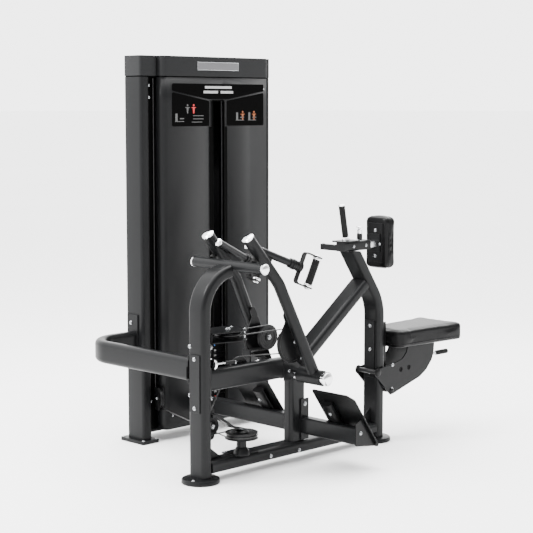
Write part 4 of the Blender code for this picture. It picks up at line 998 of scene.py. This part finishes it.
def pulley_bracket():
    """The two discs that hold the front pulley, their back plate, spacers and bolts."""
    low, high = cad("pulley_bracket")
    for name, z0, z1 in (("top", high.z - 0.004, high.z), ("bottom", low.z, low.z + 0.004)):
        disc = arc((FRONT_PULLEY[0], 0.0, 0.0), BRACKET_DISC, -110, 110, "xy", 44)
        outline = disc + [(low.x, 0.046), (low.x, -0.046)]
        stands = ("pulley_bracket",) if name == "top" else ()
        make(f"pulley_bracket_{name}", slab(outline, z1 - z0), PAINT, (0, 0, (z0 + z1) / 2),
             bevel=0.0008, stands_for=stands)
    flange("pulley_bracket_back", (low.x, -0.040, low.z + 0.004), (low.x + 0.004, 0.040, high.z - 0.004))
    bolt("front_wheel_top", (FRONT_PULLEY[0], 0, high.z), (0, 0, 1), 0.0085)
    bolt("front_wheel_nut", (FRONT_PULLEY[0], 0, low.z), (0, 0, -1), 0.0085)
    for k, y in enumerate((-0.038, 0.038)):
        bolt(f"bracket_{k + 1}", (0.205, y, high.z), (0, 0, 1), 0.0045)
        spacer = pipe([(0.205, y, low.z + 0.004), (0.205, y, high.z - 0.004)], 0.004, 16)
        make(f"bracket_spacer_{k + 1}", spacer, STEEL)


def drop_and_turn_cheeks():
    """The cheek plates and bolts of the drop pulley and of the turn pulley."""
    x, y, z = DROP_PULLEY
    flange("drop_pulley_hanger", (x - 0.016, 0.0255, 0.4475), (x + 0.016, 0.0520, 0.4500))
    cheek = rounded(taper(0.022, 0.040, 0.016, -0.018), 0.008, 5)
    make("drop_pulley_cheek", slab(cheek, 0.004), PAINT, (x, 0.0445, z - 0.002), FACE_Y, bevel=0.0008)
    bolt("drop_pulley", (x, 0.0465, z), (0, 1, 0), 0.007)
    x, y, z = TURN_PULLEY
    outline = rounded([(0.030, 0.070), (-0.055, 0.070), (-0.055, -0.080), (0.030, -0.055)], 0.012, 5)
    make("turn_pulley_cheek", slab(outline, 0.004), DARK, (x, y + 0.0125, z), FACE_Y, bevel=0.0008)
    bolt("turn_pulley", (x, y + 0.0145, z), (0, 1, 0), 0.007)
    inner = rounded([(0.014, 0.020), (-0.050, 0.020), (-0.050, -0.030), (0.014, -0.020)], 0.008, 5)
    make("turn_pulley_inner", slab(inner, 0.004), DARK, (x, y - 0.0125, z), FACE_Y,
         bevel=0.0008)
    bolt("turn_pulley_near", (x, y - 0.0145, z), (0, -1, 0), 0.007)


def floor_pulley_stand():
    """The pedestal, base plate, hub and strap of the floor pulley."""
    x, y, z = FLOOR_PULLEY
    pedestal = [(0.020, z - 0.0145), (0.020, 0.118), (0.030, 0.104), (0.034, 0.090), (0.034, 0.0855)]
    make("floor_pulley_pedestal", lathe(pedestal, 40), PAINT, (x, y, 0))
    flange("floor_pulley_base", (x - 0.044, -0.044, 0.0853), (x + 0.090, 0.044, 0.0900), bevel=0.001,
           corner=0.008)
    bolts("floor_pulley_base", [(x + 0.060, 0.0, 0.0900), (x - 0.034, 0.030, 0.0900)], (0, 0, 1), 0.0055)
    hub = [(0.012, z + 0.024), (0.024, z + 0.020), (0.030, z + 0.0135)]
    make("floor_pulley_hub", lathe(hub, 40), DARK, (x, y, 0))
    bolt("floor_pulley", (x, y, z + 0.0235), (0, 0, 1), 0.007)
    strap = [(0.0255, 0.276), (0.0500, 0.276), (0.140, 0.212), (0.196, 0.1965), (0.196, 0.1925),
             (0.136, 0.205), (0.048, 0.262), (0.0255, 0.262)]
    make("floor_pulley_strap", slab(strap, 0.034), PAINT, (0, -0.0300, 0), FACE_Y, bevel=0.001)


def tower_pulley_cheeks():
    """The cheek plates and bolts on both sides of the tower pulley."""
    middle = Vector(TOWER_PULLEY)
    side = Vector((math.cos(TOWER_BEARING), -math.sin(TOWER_BEARING), 0))
    for k, sign in enumerate((-1, 1)):
        cheek = rounded(taper(0.026, 0.050, 0.020, -0.052), 0.010, 5)
        out = side * sign
        make(f"tower_pulley_cheek_{k + 1}", slab(cheek, 0.003), DARK, middle + out * 0.0105, FACE_TOWER,
             bevel=0.0006)
        bolt(f"tower_pulley_{k + 1}", middle + out * 0.0120, out, 0.006)


def spread(points, gap=0.025):
    """Points put in along the straight stretches of a route."""
    out = [Vector(points[0])]
    for a, b in zip(points, points[1:]):
        a, b = Vector(a), Vector(b)
        count = max(1, int((b - a).length / gap))
        out += [a.lerp(b, (k + 1) / count) for k in range(count)]
    return out


def cables():
    """The cable in pieces: a loop round each arm's pulley, the arc round the front pulley, the run to the
    tower, its anchor and the stretch above the stack.
    """
    low_z, high_z = WHEEL_Z - WHEEL_GROOVE, WHEEL_Z + WHEEL_GROOVE
    loops = {}
    for side, sign in SIDES:
        wrap = arc((WHEEL_X, sign * WHEEL_Y, WHEEL_Z), WHEEL_GROOVE, 90, -90, "xz", 16)
        loops[side] = [(FRONT_PULLEY[0], sign * FRONT_GROOVE, high_z)] + wrap
    drop, turn, floor, tower = DROP_PULLEY, TURN_PULLEY, FLOOR_PULLEY, TOWER_PULLEY
    loops["left"] += [(WHEEL_X - 0.030, -WHEEL_Y, low_z), (drop[0] + 0.030, drop[1], drop[2] + DROP_GROOVE)]
    loops["right"] += [(0.330, WHEEL_Y, low_z)]
    for side, sign in SIDES:
        stands = ("cable",) if side == "left" else ()
        loop = make(f"cable_loop_{side}", pipe(spread(loops[side]), CABLE_RADIUS), CABLE,
                    body=None, stands_for=stands)
        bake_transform(loop)
    front = arc(FRONT_PULLEY, FRONT_GROOVE, 90, 270, "xy", 24)
    make("cable_front", pipe(front, CABLE_RADIUS), CABLE)
    route = [(drop[0] + 0.030, drop[1], drop[2] + DROP_GROOVE)]
    route += arc(drop, DROP_GROOVE, 90, 145, "xz", 8) + arc(turn, TURN_GROOVE, 145, 270, "xz", 12)
    swing = 270 + math.degrees(TOWER_BEARING)
    for k in range(49):
        angle = math.radians(90 - swing * k / 48)
        route.append((floor[0] + FLOOR_GROOVE * math.cos(angle), floor[1] + FLOOR_GROOVE * math.sin(angle),
                      turn[2] - TURN_GROOVE - FLOOR_PITCH * k / 48))
    for k in range(9):
        angle = math.radians(-90 + 90 * k / 8)
        out = TOWER_GROOVE * math.cos(angle)
        route.append((tower[0] + out * math.sin(TOWER_BEARING), tower[1] + out * math.cos(TOWER_BEARING),
                      tower[2] + TOWER_GROOVE * math.sin(angle)))
    route.append((*route[-1][:2], CAP_LOW - 0.004))
    make("cable_run", pipe(route, CABLE_RADIUS), CABLE)
    anchor = [(0.0050, 0.030), (0.0065, 0.026), (0.0065, 0.004), (0.009, 0.002), (0.009, 0)]
    make("cable_anchor", lathe(anchor, 24), STEEL, (0.304, WHEEL_Y, low_z), TO_X)
    flange("cable_anchor_plate", (0.296, 0.0253, 0.440), (0.304, 0.072, 0.492))
    low, high = cad("stack_cable")
    rope = [((low.x + high.x) / 2, (low.y + high.y) / 2, z) for z in (low.z, high.z)]
    stack_rope = make("cable_above_stack", pipe(spread(rope), CABLE_RADIUS), CABLE,
                      body=None, stands_for=("stack_cable",))
    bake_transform(stack_rope)


# ---------------------------------------------------------------- arms and handles
def guard_outline():
    """The guard plate of the arm pulley, in the machine's X and Z."""
    lobe = [(x, z) for x, _, z in arc((0.420, 0.0, 0.525), 0.080, 150, 285, "xz", 27)]
    head = rounded([(0.494, 0.420), (0.392, 0.652), (0.375, 0.656), (0.366, 0.640), (0.378, 0.612),
                    (0.360, 0.580)], [0, 0.006, 0.006, 0.008, 0.01, 0], 5)
    return [tuple(p) for p in head[1:-1]] + lobe + [(0.470, 0.420), (0.494, 0.420)], lobe


def arm(side, sign):
    """A bent arm tube with its end cap and its hub on the pivot shaft."""
    body = f"{side}_arm"
    foot_point = Vector((PIVOT_X, 0, PIVOT_Z))
    lower, upper = ARM_BEND - foot_point, ARM_TOP - ARM_BEND
    angle = lower.angle(upper)
    tangent = ARM_BEND_RADIUS * math.tan(angle / 2)
    lean = math.atan2(-lower.x, lower.z)
    pose = (Matrix.Rotation(sign * ARM_SPLAY, 4, "X") @ Matrix.Rotation(-lean, 4, "Y")
            @ Matrix.Rotation(math.pi, 4, "Z") @ Matrix.Translation((0, 0, ARM_START)))
    runs = [("line", lower.length - ARM_START - tangent), ("bend", ARM_BEND_RADIUS, angle, 18),
            ("line", upper.length - tangent)]
    bm = sweep(round_section(ARM_RADIUS, 48), runs)
    bm.transform(pose)
    hinge = Vector((PIVOT_X, sign * ARM_Y, PIVOT_Z))
    make(f"{side}_arm_tube", bm, PAINT, hinge, body=body, stands_for=(f"{side}_arm",))
    tip = hinge + Matrix.Rotation(sign * ARM_SPLAY, 3, "X") @ (ARM_TOP - foot_point)
    heading = Matrix.Rotation(sign * ARM_SPLAY, 3, "X") @ upper.normalized()
    cap(f"{side}_arm_cap", tip - heading * 0.002, heading, ARM_RADIUS + 0.001, body, bulge=0.20,
        seat=0.005)
    inner, outer = ARM_HUB
    hub = [(0.0256, outer - 0.001), (0.0266, outer), (0.031, outer), (0.032, outer - 0.001),
           (0.032, inner + 0.001), (0.031, inner), (0.0256, inner)]
    make(f"{side}_arm_hub", lathe(hub + hub[:1], 56), PAINT, (PIVOT_X, 0, PIVOT_Z), outward(sign), body)


def handle_tube(side, sign):
    """The tube that carries the D-handle, its collar and its web; gives back both of its ends."""
    body = f"{side}_arm"
    begin = Vector((HANDLE_START[0], sign * HANDLE_START[1], HANDLE_START[2]))
    end = Vector((HANDLE_HUB[0], sign * HANDLE_HUB[1], HANDLE_HUB[2]))
    make(f"{side}_handle_tube", pipe([begin, end], 0.015, 40), PAINT, body=body)
    axis = (end - begin).normalized()
    ring = [(0.0185, 0), (0.0200, 0.0015), (0.0200, 0.0105), (0.0185, 0.012)]
    make(f"{side}_handle_collar", lathe(ring, 40), DARK, end - axis * 0.0125, along(axis), body)
    cap(f"{side}_handle_tube_end", begin - axis * 0.006, -axis, 0.0155, body, bulge=0.3, seat=0.006)
    web = [(0.196, 0.938), (0.228, 0.872), (0.262, 0.8365), (0.300, 0.8985)]
    make(f"{side}_handle_web", slab(web, 0.006), DARK, (0, sign * 0.1130, 0), FACE_Y, body, bevel=0.001)
    return begin, end


def pulley_guard(side, sign):
    """The rimmed guard plate over the arm's pulley."""
    body = f"{side}_arm"
    outline, lobe = guard_outline()
    plate_y = sign * GUARD_PLATE_Y
    make(f"{side}_guard_plate", slab(outline, 0.006), DARK, (0, plate_y, 0), FACE_Y, body, bevel=0.001,
         stands_for=(f"{side}_pulley_guard",))
    for k, offset in enumerate((-0.0035, 0.0035)):
        bead = [(p[0], plate_y + offset, p[1]) for p in lobe]
        make(f"{side}_guard_rim_{k + 1}", pipe(bead, 0.0050, 12), DARK, body=body)
    bolt(f"{side}_guard_axle", (WHEEL_X, sign * 0.1010, WHEEL_Z), (0, sign, 0), body=body)
    bolt(f"{side}_guard", (0.470, plate_y + sign * 0.003, 0.455), (0, sign, 0), 0.0055, body)


def arms():
    """Both arms with everything that rides on them."""
    for side, sign in SIDES:
        arm(side, sign)
        begin, end = handle_tube(side, sign)
        pulley_guard(side, sign)
        grip_handle(side, begin, end)


def grip_handle(side, begin, end):
    """The swivelling D-handle: a hub, a bent strip and the grip across its mouth."""
    body = f"{side}_handle"
    axis = (end - begin).normalized()
    down = (Vector((0, 0, -1)) + axis * axis.z).normalized()
    out = axis.cross(down).normalized()
    half, bend = GRIP_LENGTH / 2 + STRIP_THICK, 0.012
    back = end + axis * (GAP + HUB_LONG - STRIP_THICK)
    section = box_section(STRIP_THICK, STRIP_WIDE, 0.0012, 3)
    span = 2 * (half - STRIP_THICK / 2 - bend)
    quarter = ("bend", bend, math.pi / 2, 8)
    bm = sweep(section, [("line", BRACKET_REACH - bend), quarter, ("line", span), quarter,
                         ("line", BRACKET_REACH - bend)])
    turn = Matrix((down, out, -axis)).transposed()
    if turn.determinant() < 0:
        turn = Matrix((down, -out, -axis)).transposed()
    corner = back - down * (half - STRIP_THICK / 2) + axis * BRACKET_REACH
    make(f"{side}_handle_strip", bm, DARK, corner, turn.to_euler(), body, stands_for=(f"{side}_handle",))
    hub = [(0.0195, 0), (0.0215, 0.002), (0.0215, 0.014), (0.0195, 0.016), (0.0195, 0.030),
           (0.0215, 0.032), (0.0215, 0.046), (0.0195, HUB_LONG)]
    make(f"{side}_handle_hub", lathe(hub, 44), DARK, end + axis * GAP, along(axis), body)
    grip_place = back + axis * (BRACKET_REACH - 0.016)
    grip(f"{side}_hand", grip_place, down, GRIP_LENGTH - 0.0006, 0.016, body, (f"{side}_grip",))
    ring = mirrored([(0.0120, 0.0045), (0.0168, 0.0045), (0.0175, 0.0035)])
    for k, sign in enumerate((-1, 1)):
        make(f"{side}_grip_ring_{k + 1}", lathe(ring + ring[:1], 40), CHROME,
             grip_place + down * sign * (GRIP_LENGTH / 2 - 0.0050), along(down), body)
        cap(f"{side}_grip_end_{k + 1}", grip_place + down * sign * (GRIP_LENGTH / 2 + STRIP_THICK),
            down * sign, 0.0125, body, bulge=0.30, seat=0.003)


def grip(name, place, axis, length, radius, body, stands_for=(), ribs=14):
    """A rubber grip with rounded ends and shallow ribs."""
    half = length / 2
    profile = [(radius * 0.80, half), (radius * 0.95, half - 0.002), (radius, half - 0.005)]
    step = (length - 0.016) / ribs
    for k in range(ribs):
        z = half - 0.008 - k * step
        profile += [(radius, z), (radius, z - step * 0.55), (radius - 0.0011, z - step * 0.70),
                    (radius - 0.0011, z - step * 0.88)]
    profile += [(radius, 0.006 - half), (radius * 0.95, 0.002 - half), (radius * 0.80, -half)]
    make(f"{name}_grip_rubber", lathe(profile, 40), RUBBER, place, along(axis), body, stands_for=stands_for)


# ---------------------------------------------------------------- upholstery
def cushion(name, outline, thick, place, turn, body, node, swell, seam_at):
    """A stuffed pad: a slab blown up by a short cloth simulation, with a stitched seam."""
    shape = rounded(outline, swell["corners"])
    obj = make(name, slab(shape, thick * swell["fill"]), VINYL, place, turn, body=None, stands_for=(node,))
    soften(obj, swell["edge"], 5)
    skin = obj.modifiers.new("skin", "REMESH")
    skin.mode = "VOXEL"
    skin.voxel_size = SKIN_VOXEL
    bake(obj)
    rest = [v.co.copy() for v in obj.data.vertices]
    cloth = obj.modifiers.new("cloth", "CLOTH")
    cloth.settings.use_pressure = True
    cloth.settings.uniform_pressure_force = FOAM_PRESSURE
    cloth.settings.effector_weights.gravity = 0.0
    cloth.settings.quality = 5
    scene = bpy.context.scene
    for number in range(1, CLOTH_FRAMES + 1):
        scene.frame_set(number)
    bake(obj)
    scene.frame_set(1)
    back = -thick * swell["fill"] / 2
    for v, home in zip(obj.data.vertices, rest):
        move = v.co - home
        if move.length > swell["cap"]:
            move *= swell["cap"] / move.length
        firm = min(1.0, max(0.0, (home.z - back) / (thick * 0.35)))
        move.z *= firm
        v.co = home + move
    smooth = obj.modifiers.new("smooth", "SUBSURF")
    smooth.levels = 1
    smooth.render_levels = 1
    bake(obj)
    obj.data.shade_smooth()
    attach(obj, body)
    for k, height in enumerate(seam_at):
        seam(f"{name}_seam_{k + 1}", obj, shape, height, body)
    return obj


def bake(obj):
    """Apply every modifier by taking the evaluated mesh."""
    bpy.context.view_layer.update()
    shaped = obj.evaluated_get(bpy.context.evaluated_depsgraph_get())
    mesh = bpy.data.meshes.new_from_object(shaped)
    mesh.name = obj.name
    obj.modifiers.clear()
    obj.data = mesh


def seam(name, obj, shape, height, body):
    """A thin welt laid on the cushion's side at a height."""
    tree = BVHTree.FromPolygons([v.co for v in obj.data.vertices], [p.vertices for p in obj.data.polygons])
    points = []
    for p in shape:
        out = Vector((p[0], p[1], 0)).normalized()
        hit = tree.ray_cast(Vector((p[0], p[1], height)) + out * 0.08, -out)[0]
        if hit and (not points or (hit - points[-1]).length > 0.002):
            points.append(hit)
    make(name, pipe(points, 0.0013, 8, closed=True), VINYL, obj.location - HOME, obj.rotation_euler, body)


# ---------------------------------------------------------------- seat and chest pad
def seat():
    """The carriage's two plates with their bolts and roller caps, the rollers and the deck."""
    outline = [(0.984, 0.330), (0.984, 0.304), (1.085, 0.206), (1.100, 0.208), (1.290, 0.262),
               (1.335, 0.288), (1.375, 0.330), (1.388, 0.368), (1.392, 0.4175), (1.205, 0.4175),
               (1.195, 0.385), (1.165, 0.358), (1.090, 0.342)]
    radii = [0.008, 0.012, 0.008, 0.008, 0.05, 0.05, 0.04, 0.04, 0.002, 0.002, 0.015, 0.03, 0.05]
    outline.reverse()
    radii.reverse()
    body = "seat_carriage"
    for k, (side, sign) in enumerate(SIDES):
        stands = ("seat_carriage",) if k == 0 else ()
        make(f"carriage_plate_{side}", slab(rounded(outline, radii, 8), CARRIAGE_THICK), PAINT,
             (0, sign * CARRIAGE_Y, 0), FACE_Y, body, bevel=0.0012, stands_for=stands)
        face = sign * (CARRIAGE_Y + CARRIAGE_THICK / 2)
        bolts(f"carriage_{side}", [(1.0970, face, 0.3400), (1.0930, face, 0.2320)], (0, sign, 0), body=body)
        for j, (x, z, wide) in enumerate(((0.9985, 0.3180, 0.0190), (1.0915, 0.2250, 0.0125))):
            cap(f"roller_cap_{side}_{j + 1}", (x, face, z), (0, sign, 0), wide, body, DARK, 0.25, 0.003)
        # Each hole is a thin black disc: painted shade for its dark inside.
        for j, (x, z) in enumerate(((1.1558, 0.3116), (1.2107, 0.3145))):
            ring = [(0.0085, 0.0004), (0.0100, 0.0009), (0.0112, 0.0004), (0.0112, 0)]
            make(f"carriage_hole_shade_{side}_{j + 1}", lathe(ring, 28), BLACK_AND_PAINTED_SHADE, (x, face, z),
                 outward(sign), body)
    for k, (x, z) in enumerate(((0.9975, 0.3185), (1.0915, 0.2250))):
        drum = mirrored([(0.0100, 0.050), (0.0100, 0.030), (0.0110, 0.028)])
        make(f"carriage_roller_{k + 1}", lathe(drum, 32), NYLON, (x, 0, z), TO_Y, body)
    flange("carriage_deck", (1.206, -CARRIAGE_Y + 0.003, 0.4105), (1.388, CARRIAGE_Y - 0.003, 0.4165), body)


def seat_cushion():
    """The board under the seat, the lever beside it and the cushion."""
    body = "seat_carriage"
    half, inset = 0.098, 0.020
    low, high = (SEAT_FRONT + inset, -half, SEAT_LOW + 0.0002), (SEAT_REAR - inset, half, SEAT_LOW + 0.010)
    flange("seat_board", low, high, body, BLACK_AND_PAINTED_SHADE, 0, 0.03)
    bolts("seat_board", [(x, y, 0.4102) for x in (1.240, 1.360) for y in (-0.030, 0.030)], (0, 0, -1), 0.006,
          body)
    _, lever_high = cad("seat_lever")
    flange("lever_bar", (LEVER_X - 0.008, LEVER_Y - 0.005, LEVER_Z - 0.006),
           (LEVER_GRIP_X + 0.004, LEVER_Y + 0.005, LEVER_Z + 0.006), "seat_lever", mat=STEEL)
    grip("lever", ((LEVER_GRIP_X + lever_high.x) / 2, LEVER_Y, LEVER_Z), (1, 0, 0),
         lever_high.x - LEVER_GRIP_X, 0.011, "seat_lever", ("seat_lever",), 7)
    middle = (SEAT_FRONT + SEAT_REAR) / 2
    rear = SEAT_REAR - middle + 0.004
    pad = [(rear, SEAT_REAR_HALF), (SEAT_FRONT - middle, SEAT_FRONT_HALF),
           (SEAT_FRONT - middle, -SEAT_FRONT_HALF), (rear, -SEAT_REAR_HALF)]
    swell = {"corners": [0.018, 0.040, 0.040, 0.018], "fill": 1.02, "edge": 0.012, "cap": 0.005}
    cushion("seat_cushion", pad, SEAT_TOP - SEAT_LOW, (middle, 0, (SEAT_LOW + SEAT_TOP) / 2), (0, 0, 0),
            body, "seat_pad", swell, (-0.022,))


def chest():
    """The sleeve on top of the seat post and the bar that slides in it with the pad's board."""
    low, high = cad("chest_sleeve")
    make("chest_sleeve_tube", sweep(box_section(SLEEVE_TALL, 0.050, 0.007, 6), [("line", 0.168)]), PAINT,
         (low.x, 0, SLEEVE_Z), TO_X, stands_for=("chest_sleeve",))
    flange("cross_bar", (low.x, 0.023, 0.862), (low.x + 0.020, high.y, 0.888), bevel=0.003)
    bolt("cross_bar", (low.x + 0.010, high.y - 0.012, 0.888), (0, 0, 1), 0.005)
    liner = slab(rounded(rectangle(0.0265, 0.0215), 0.008, 5), 0.006)
    make("sleeve_liner", liner, NYLON, (0.9772, 0, SLEEVE_Z), FACE_X, bevel=0.001)
    bolts("sleeve", [(0.870, -0.0255, SLEEVE_Z), (0.950, -0.0255, SLEEVE_Z)], (0, -1, 0), 0.0052)
    slide_low, slide_high = cad("chest_slide")
    bar_start = slide_low.x + 0.016
    slide = sweep(box_section(0.030, 0.040, 0.004, 5), [("line", slide_high.x - bar_start)])
    make("chest_slide_bar", slide, BRIGHT_BAR, (bar_start, 0, SLEEVE_Z), TO_X, "chest_slide",
         stands_for=("chest_slide",))
    flange("chest_lug", (1.0315, -0.030, 0.845), (1.040, 0.030, 0.925), "chest_slide", mat=PAINT)
    flange("chest_back_board", (1.038, -0.042, 0.800), (1.0438, 0.042, 0.972), "chest_slide", mat=DARK)
    bolts("chest_board", [(1.038, 0, z) for z in (0.940, 0.828)], (-1, 0, 0), 0.006, "chest_slide")
    bolt("chest_lug", (1.0360, -0.030, SLEEVE_Z), (0, -1, 0), 0.006, "chest_slide")


def stabiliser():
    """The plate on the sleeve and the leaning grip that stands on it."""
    base_low, _ = cad("stabiliser_handle")
    flange("stabiliser_plate", (0.795, -0.040, base_low.z), (0.900, 0.040, base_low.z + 0.006), mat=DARK,
           bevel=0.001, corner=0.012, stands_for=("stabiliser_handle",))
    bolts("stabiliser_plate", [(0.808, -0.028, base_low.z + 0.006), (0.888, -0.028, base_low.z + 0.006),
                               (0.888, 0.028, base_low.z + 0.006)], (0, 0, 1), 0.0048)
    foot_point, tip = Vector((0.847, 0, base_low.z + 0.006)), Vector((0.817, 0, 1.066))
    lean = (tip - foot_point).normalized()
    grip("stabiliser", (foot_point + tip) / 2 + lean * 0.004, lean, (tip - foot_point).length - 0.020,
         0.0138, "frame", ribs=16)
    collar = [(0.0150, 0), (0.0158, 0.002), (0.0158, 0.007), (0.0140, 0.010)]
    make("stabiliser_collar", lathe(collar, 36), CHROME, foot_point, along(lean))
    cap("stabiliser_cap", tip - lean * 0.008, lean, 0.0140, bulge=0.25, seat=0.005)


def pull_knob():
    """The chest pad's lock: a black sleeve, a chrome stem with a flat top, and a nut."""
    x = 0.935
    body_low = SLEEVE_TOP + GAP
    sleeve = [(0.0115, 0.002), (0.012, 0.004), (0.012, 0.029), (0.0105, 0.031)]
    make("pull_knob_sleeve", lathe(sleeve, 36), NYLON, (x, 0, body_low), body="chest_knob",
         stands_for=("chest_knob",))
    stem = [(0.0100, 0.0305), (0.0105, 0.032), (0.0105, 0.047), (0.0065, 0.051),
            (0.0065, 0.056), (0.0140, 0.0575), (0.0148, 0.0590), (0.0148, 0.0605), (0.0135, 0.062)]
    make("pull_knob_stem", lathe(stem, 40), CHROME, (x, 0, body_low), body="chest_knob")
    nut = [(0.0155, 0.0018), (0.016, 0.0012), (0.016, 0)]
    make("pull_knob_nut", lathe(nut, 6), STEEL, (x, 0, SLEEVE_TOP))


def chest_cushion():
    """The chest pad's cushion."""
    swell = {"corners": 0.024, "fill": 1.06, "edge": 0.011, "cap": 0.0028}
    half_y, half_z = PAD_HALF + 0.004, (PAD_TOP - PAD_LOW) / 2 + 0.005
    middle = ((PAD_BACK + PAD_FRONT) / 2, 0, (PAD_LOW + PAD_TOP) / 2)
    cushion("chest_cushion", rectangle(half_y, half_z), PAD_FRONT - PAD_BACK, middle, FACE_X, "chest_slide",
            "chest_pad", swell, (-0.012, 0.012))


for build in (studio, sky, lamps, uprights_and_beams, stop_and_pivots, footrests, guard, face_plates,
              columns, shrouds, tower_top, placard, stack, pulleys, pulley_bracket, drop_and_turn_cheeks,
              floor_pulley_stand, tower_pulley_cheeks, cables, arms, seat, seat_cushion, chest,
              stabiliser, pull_knob, chest_cushion):
    build()
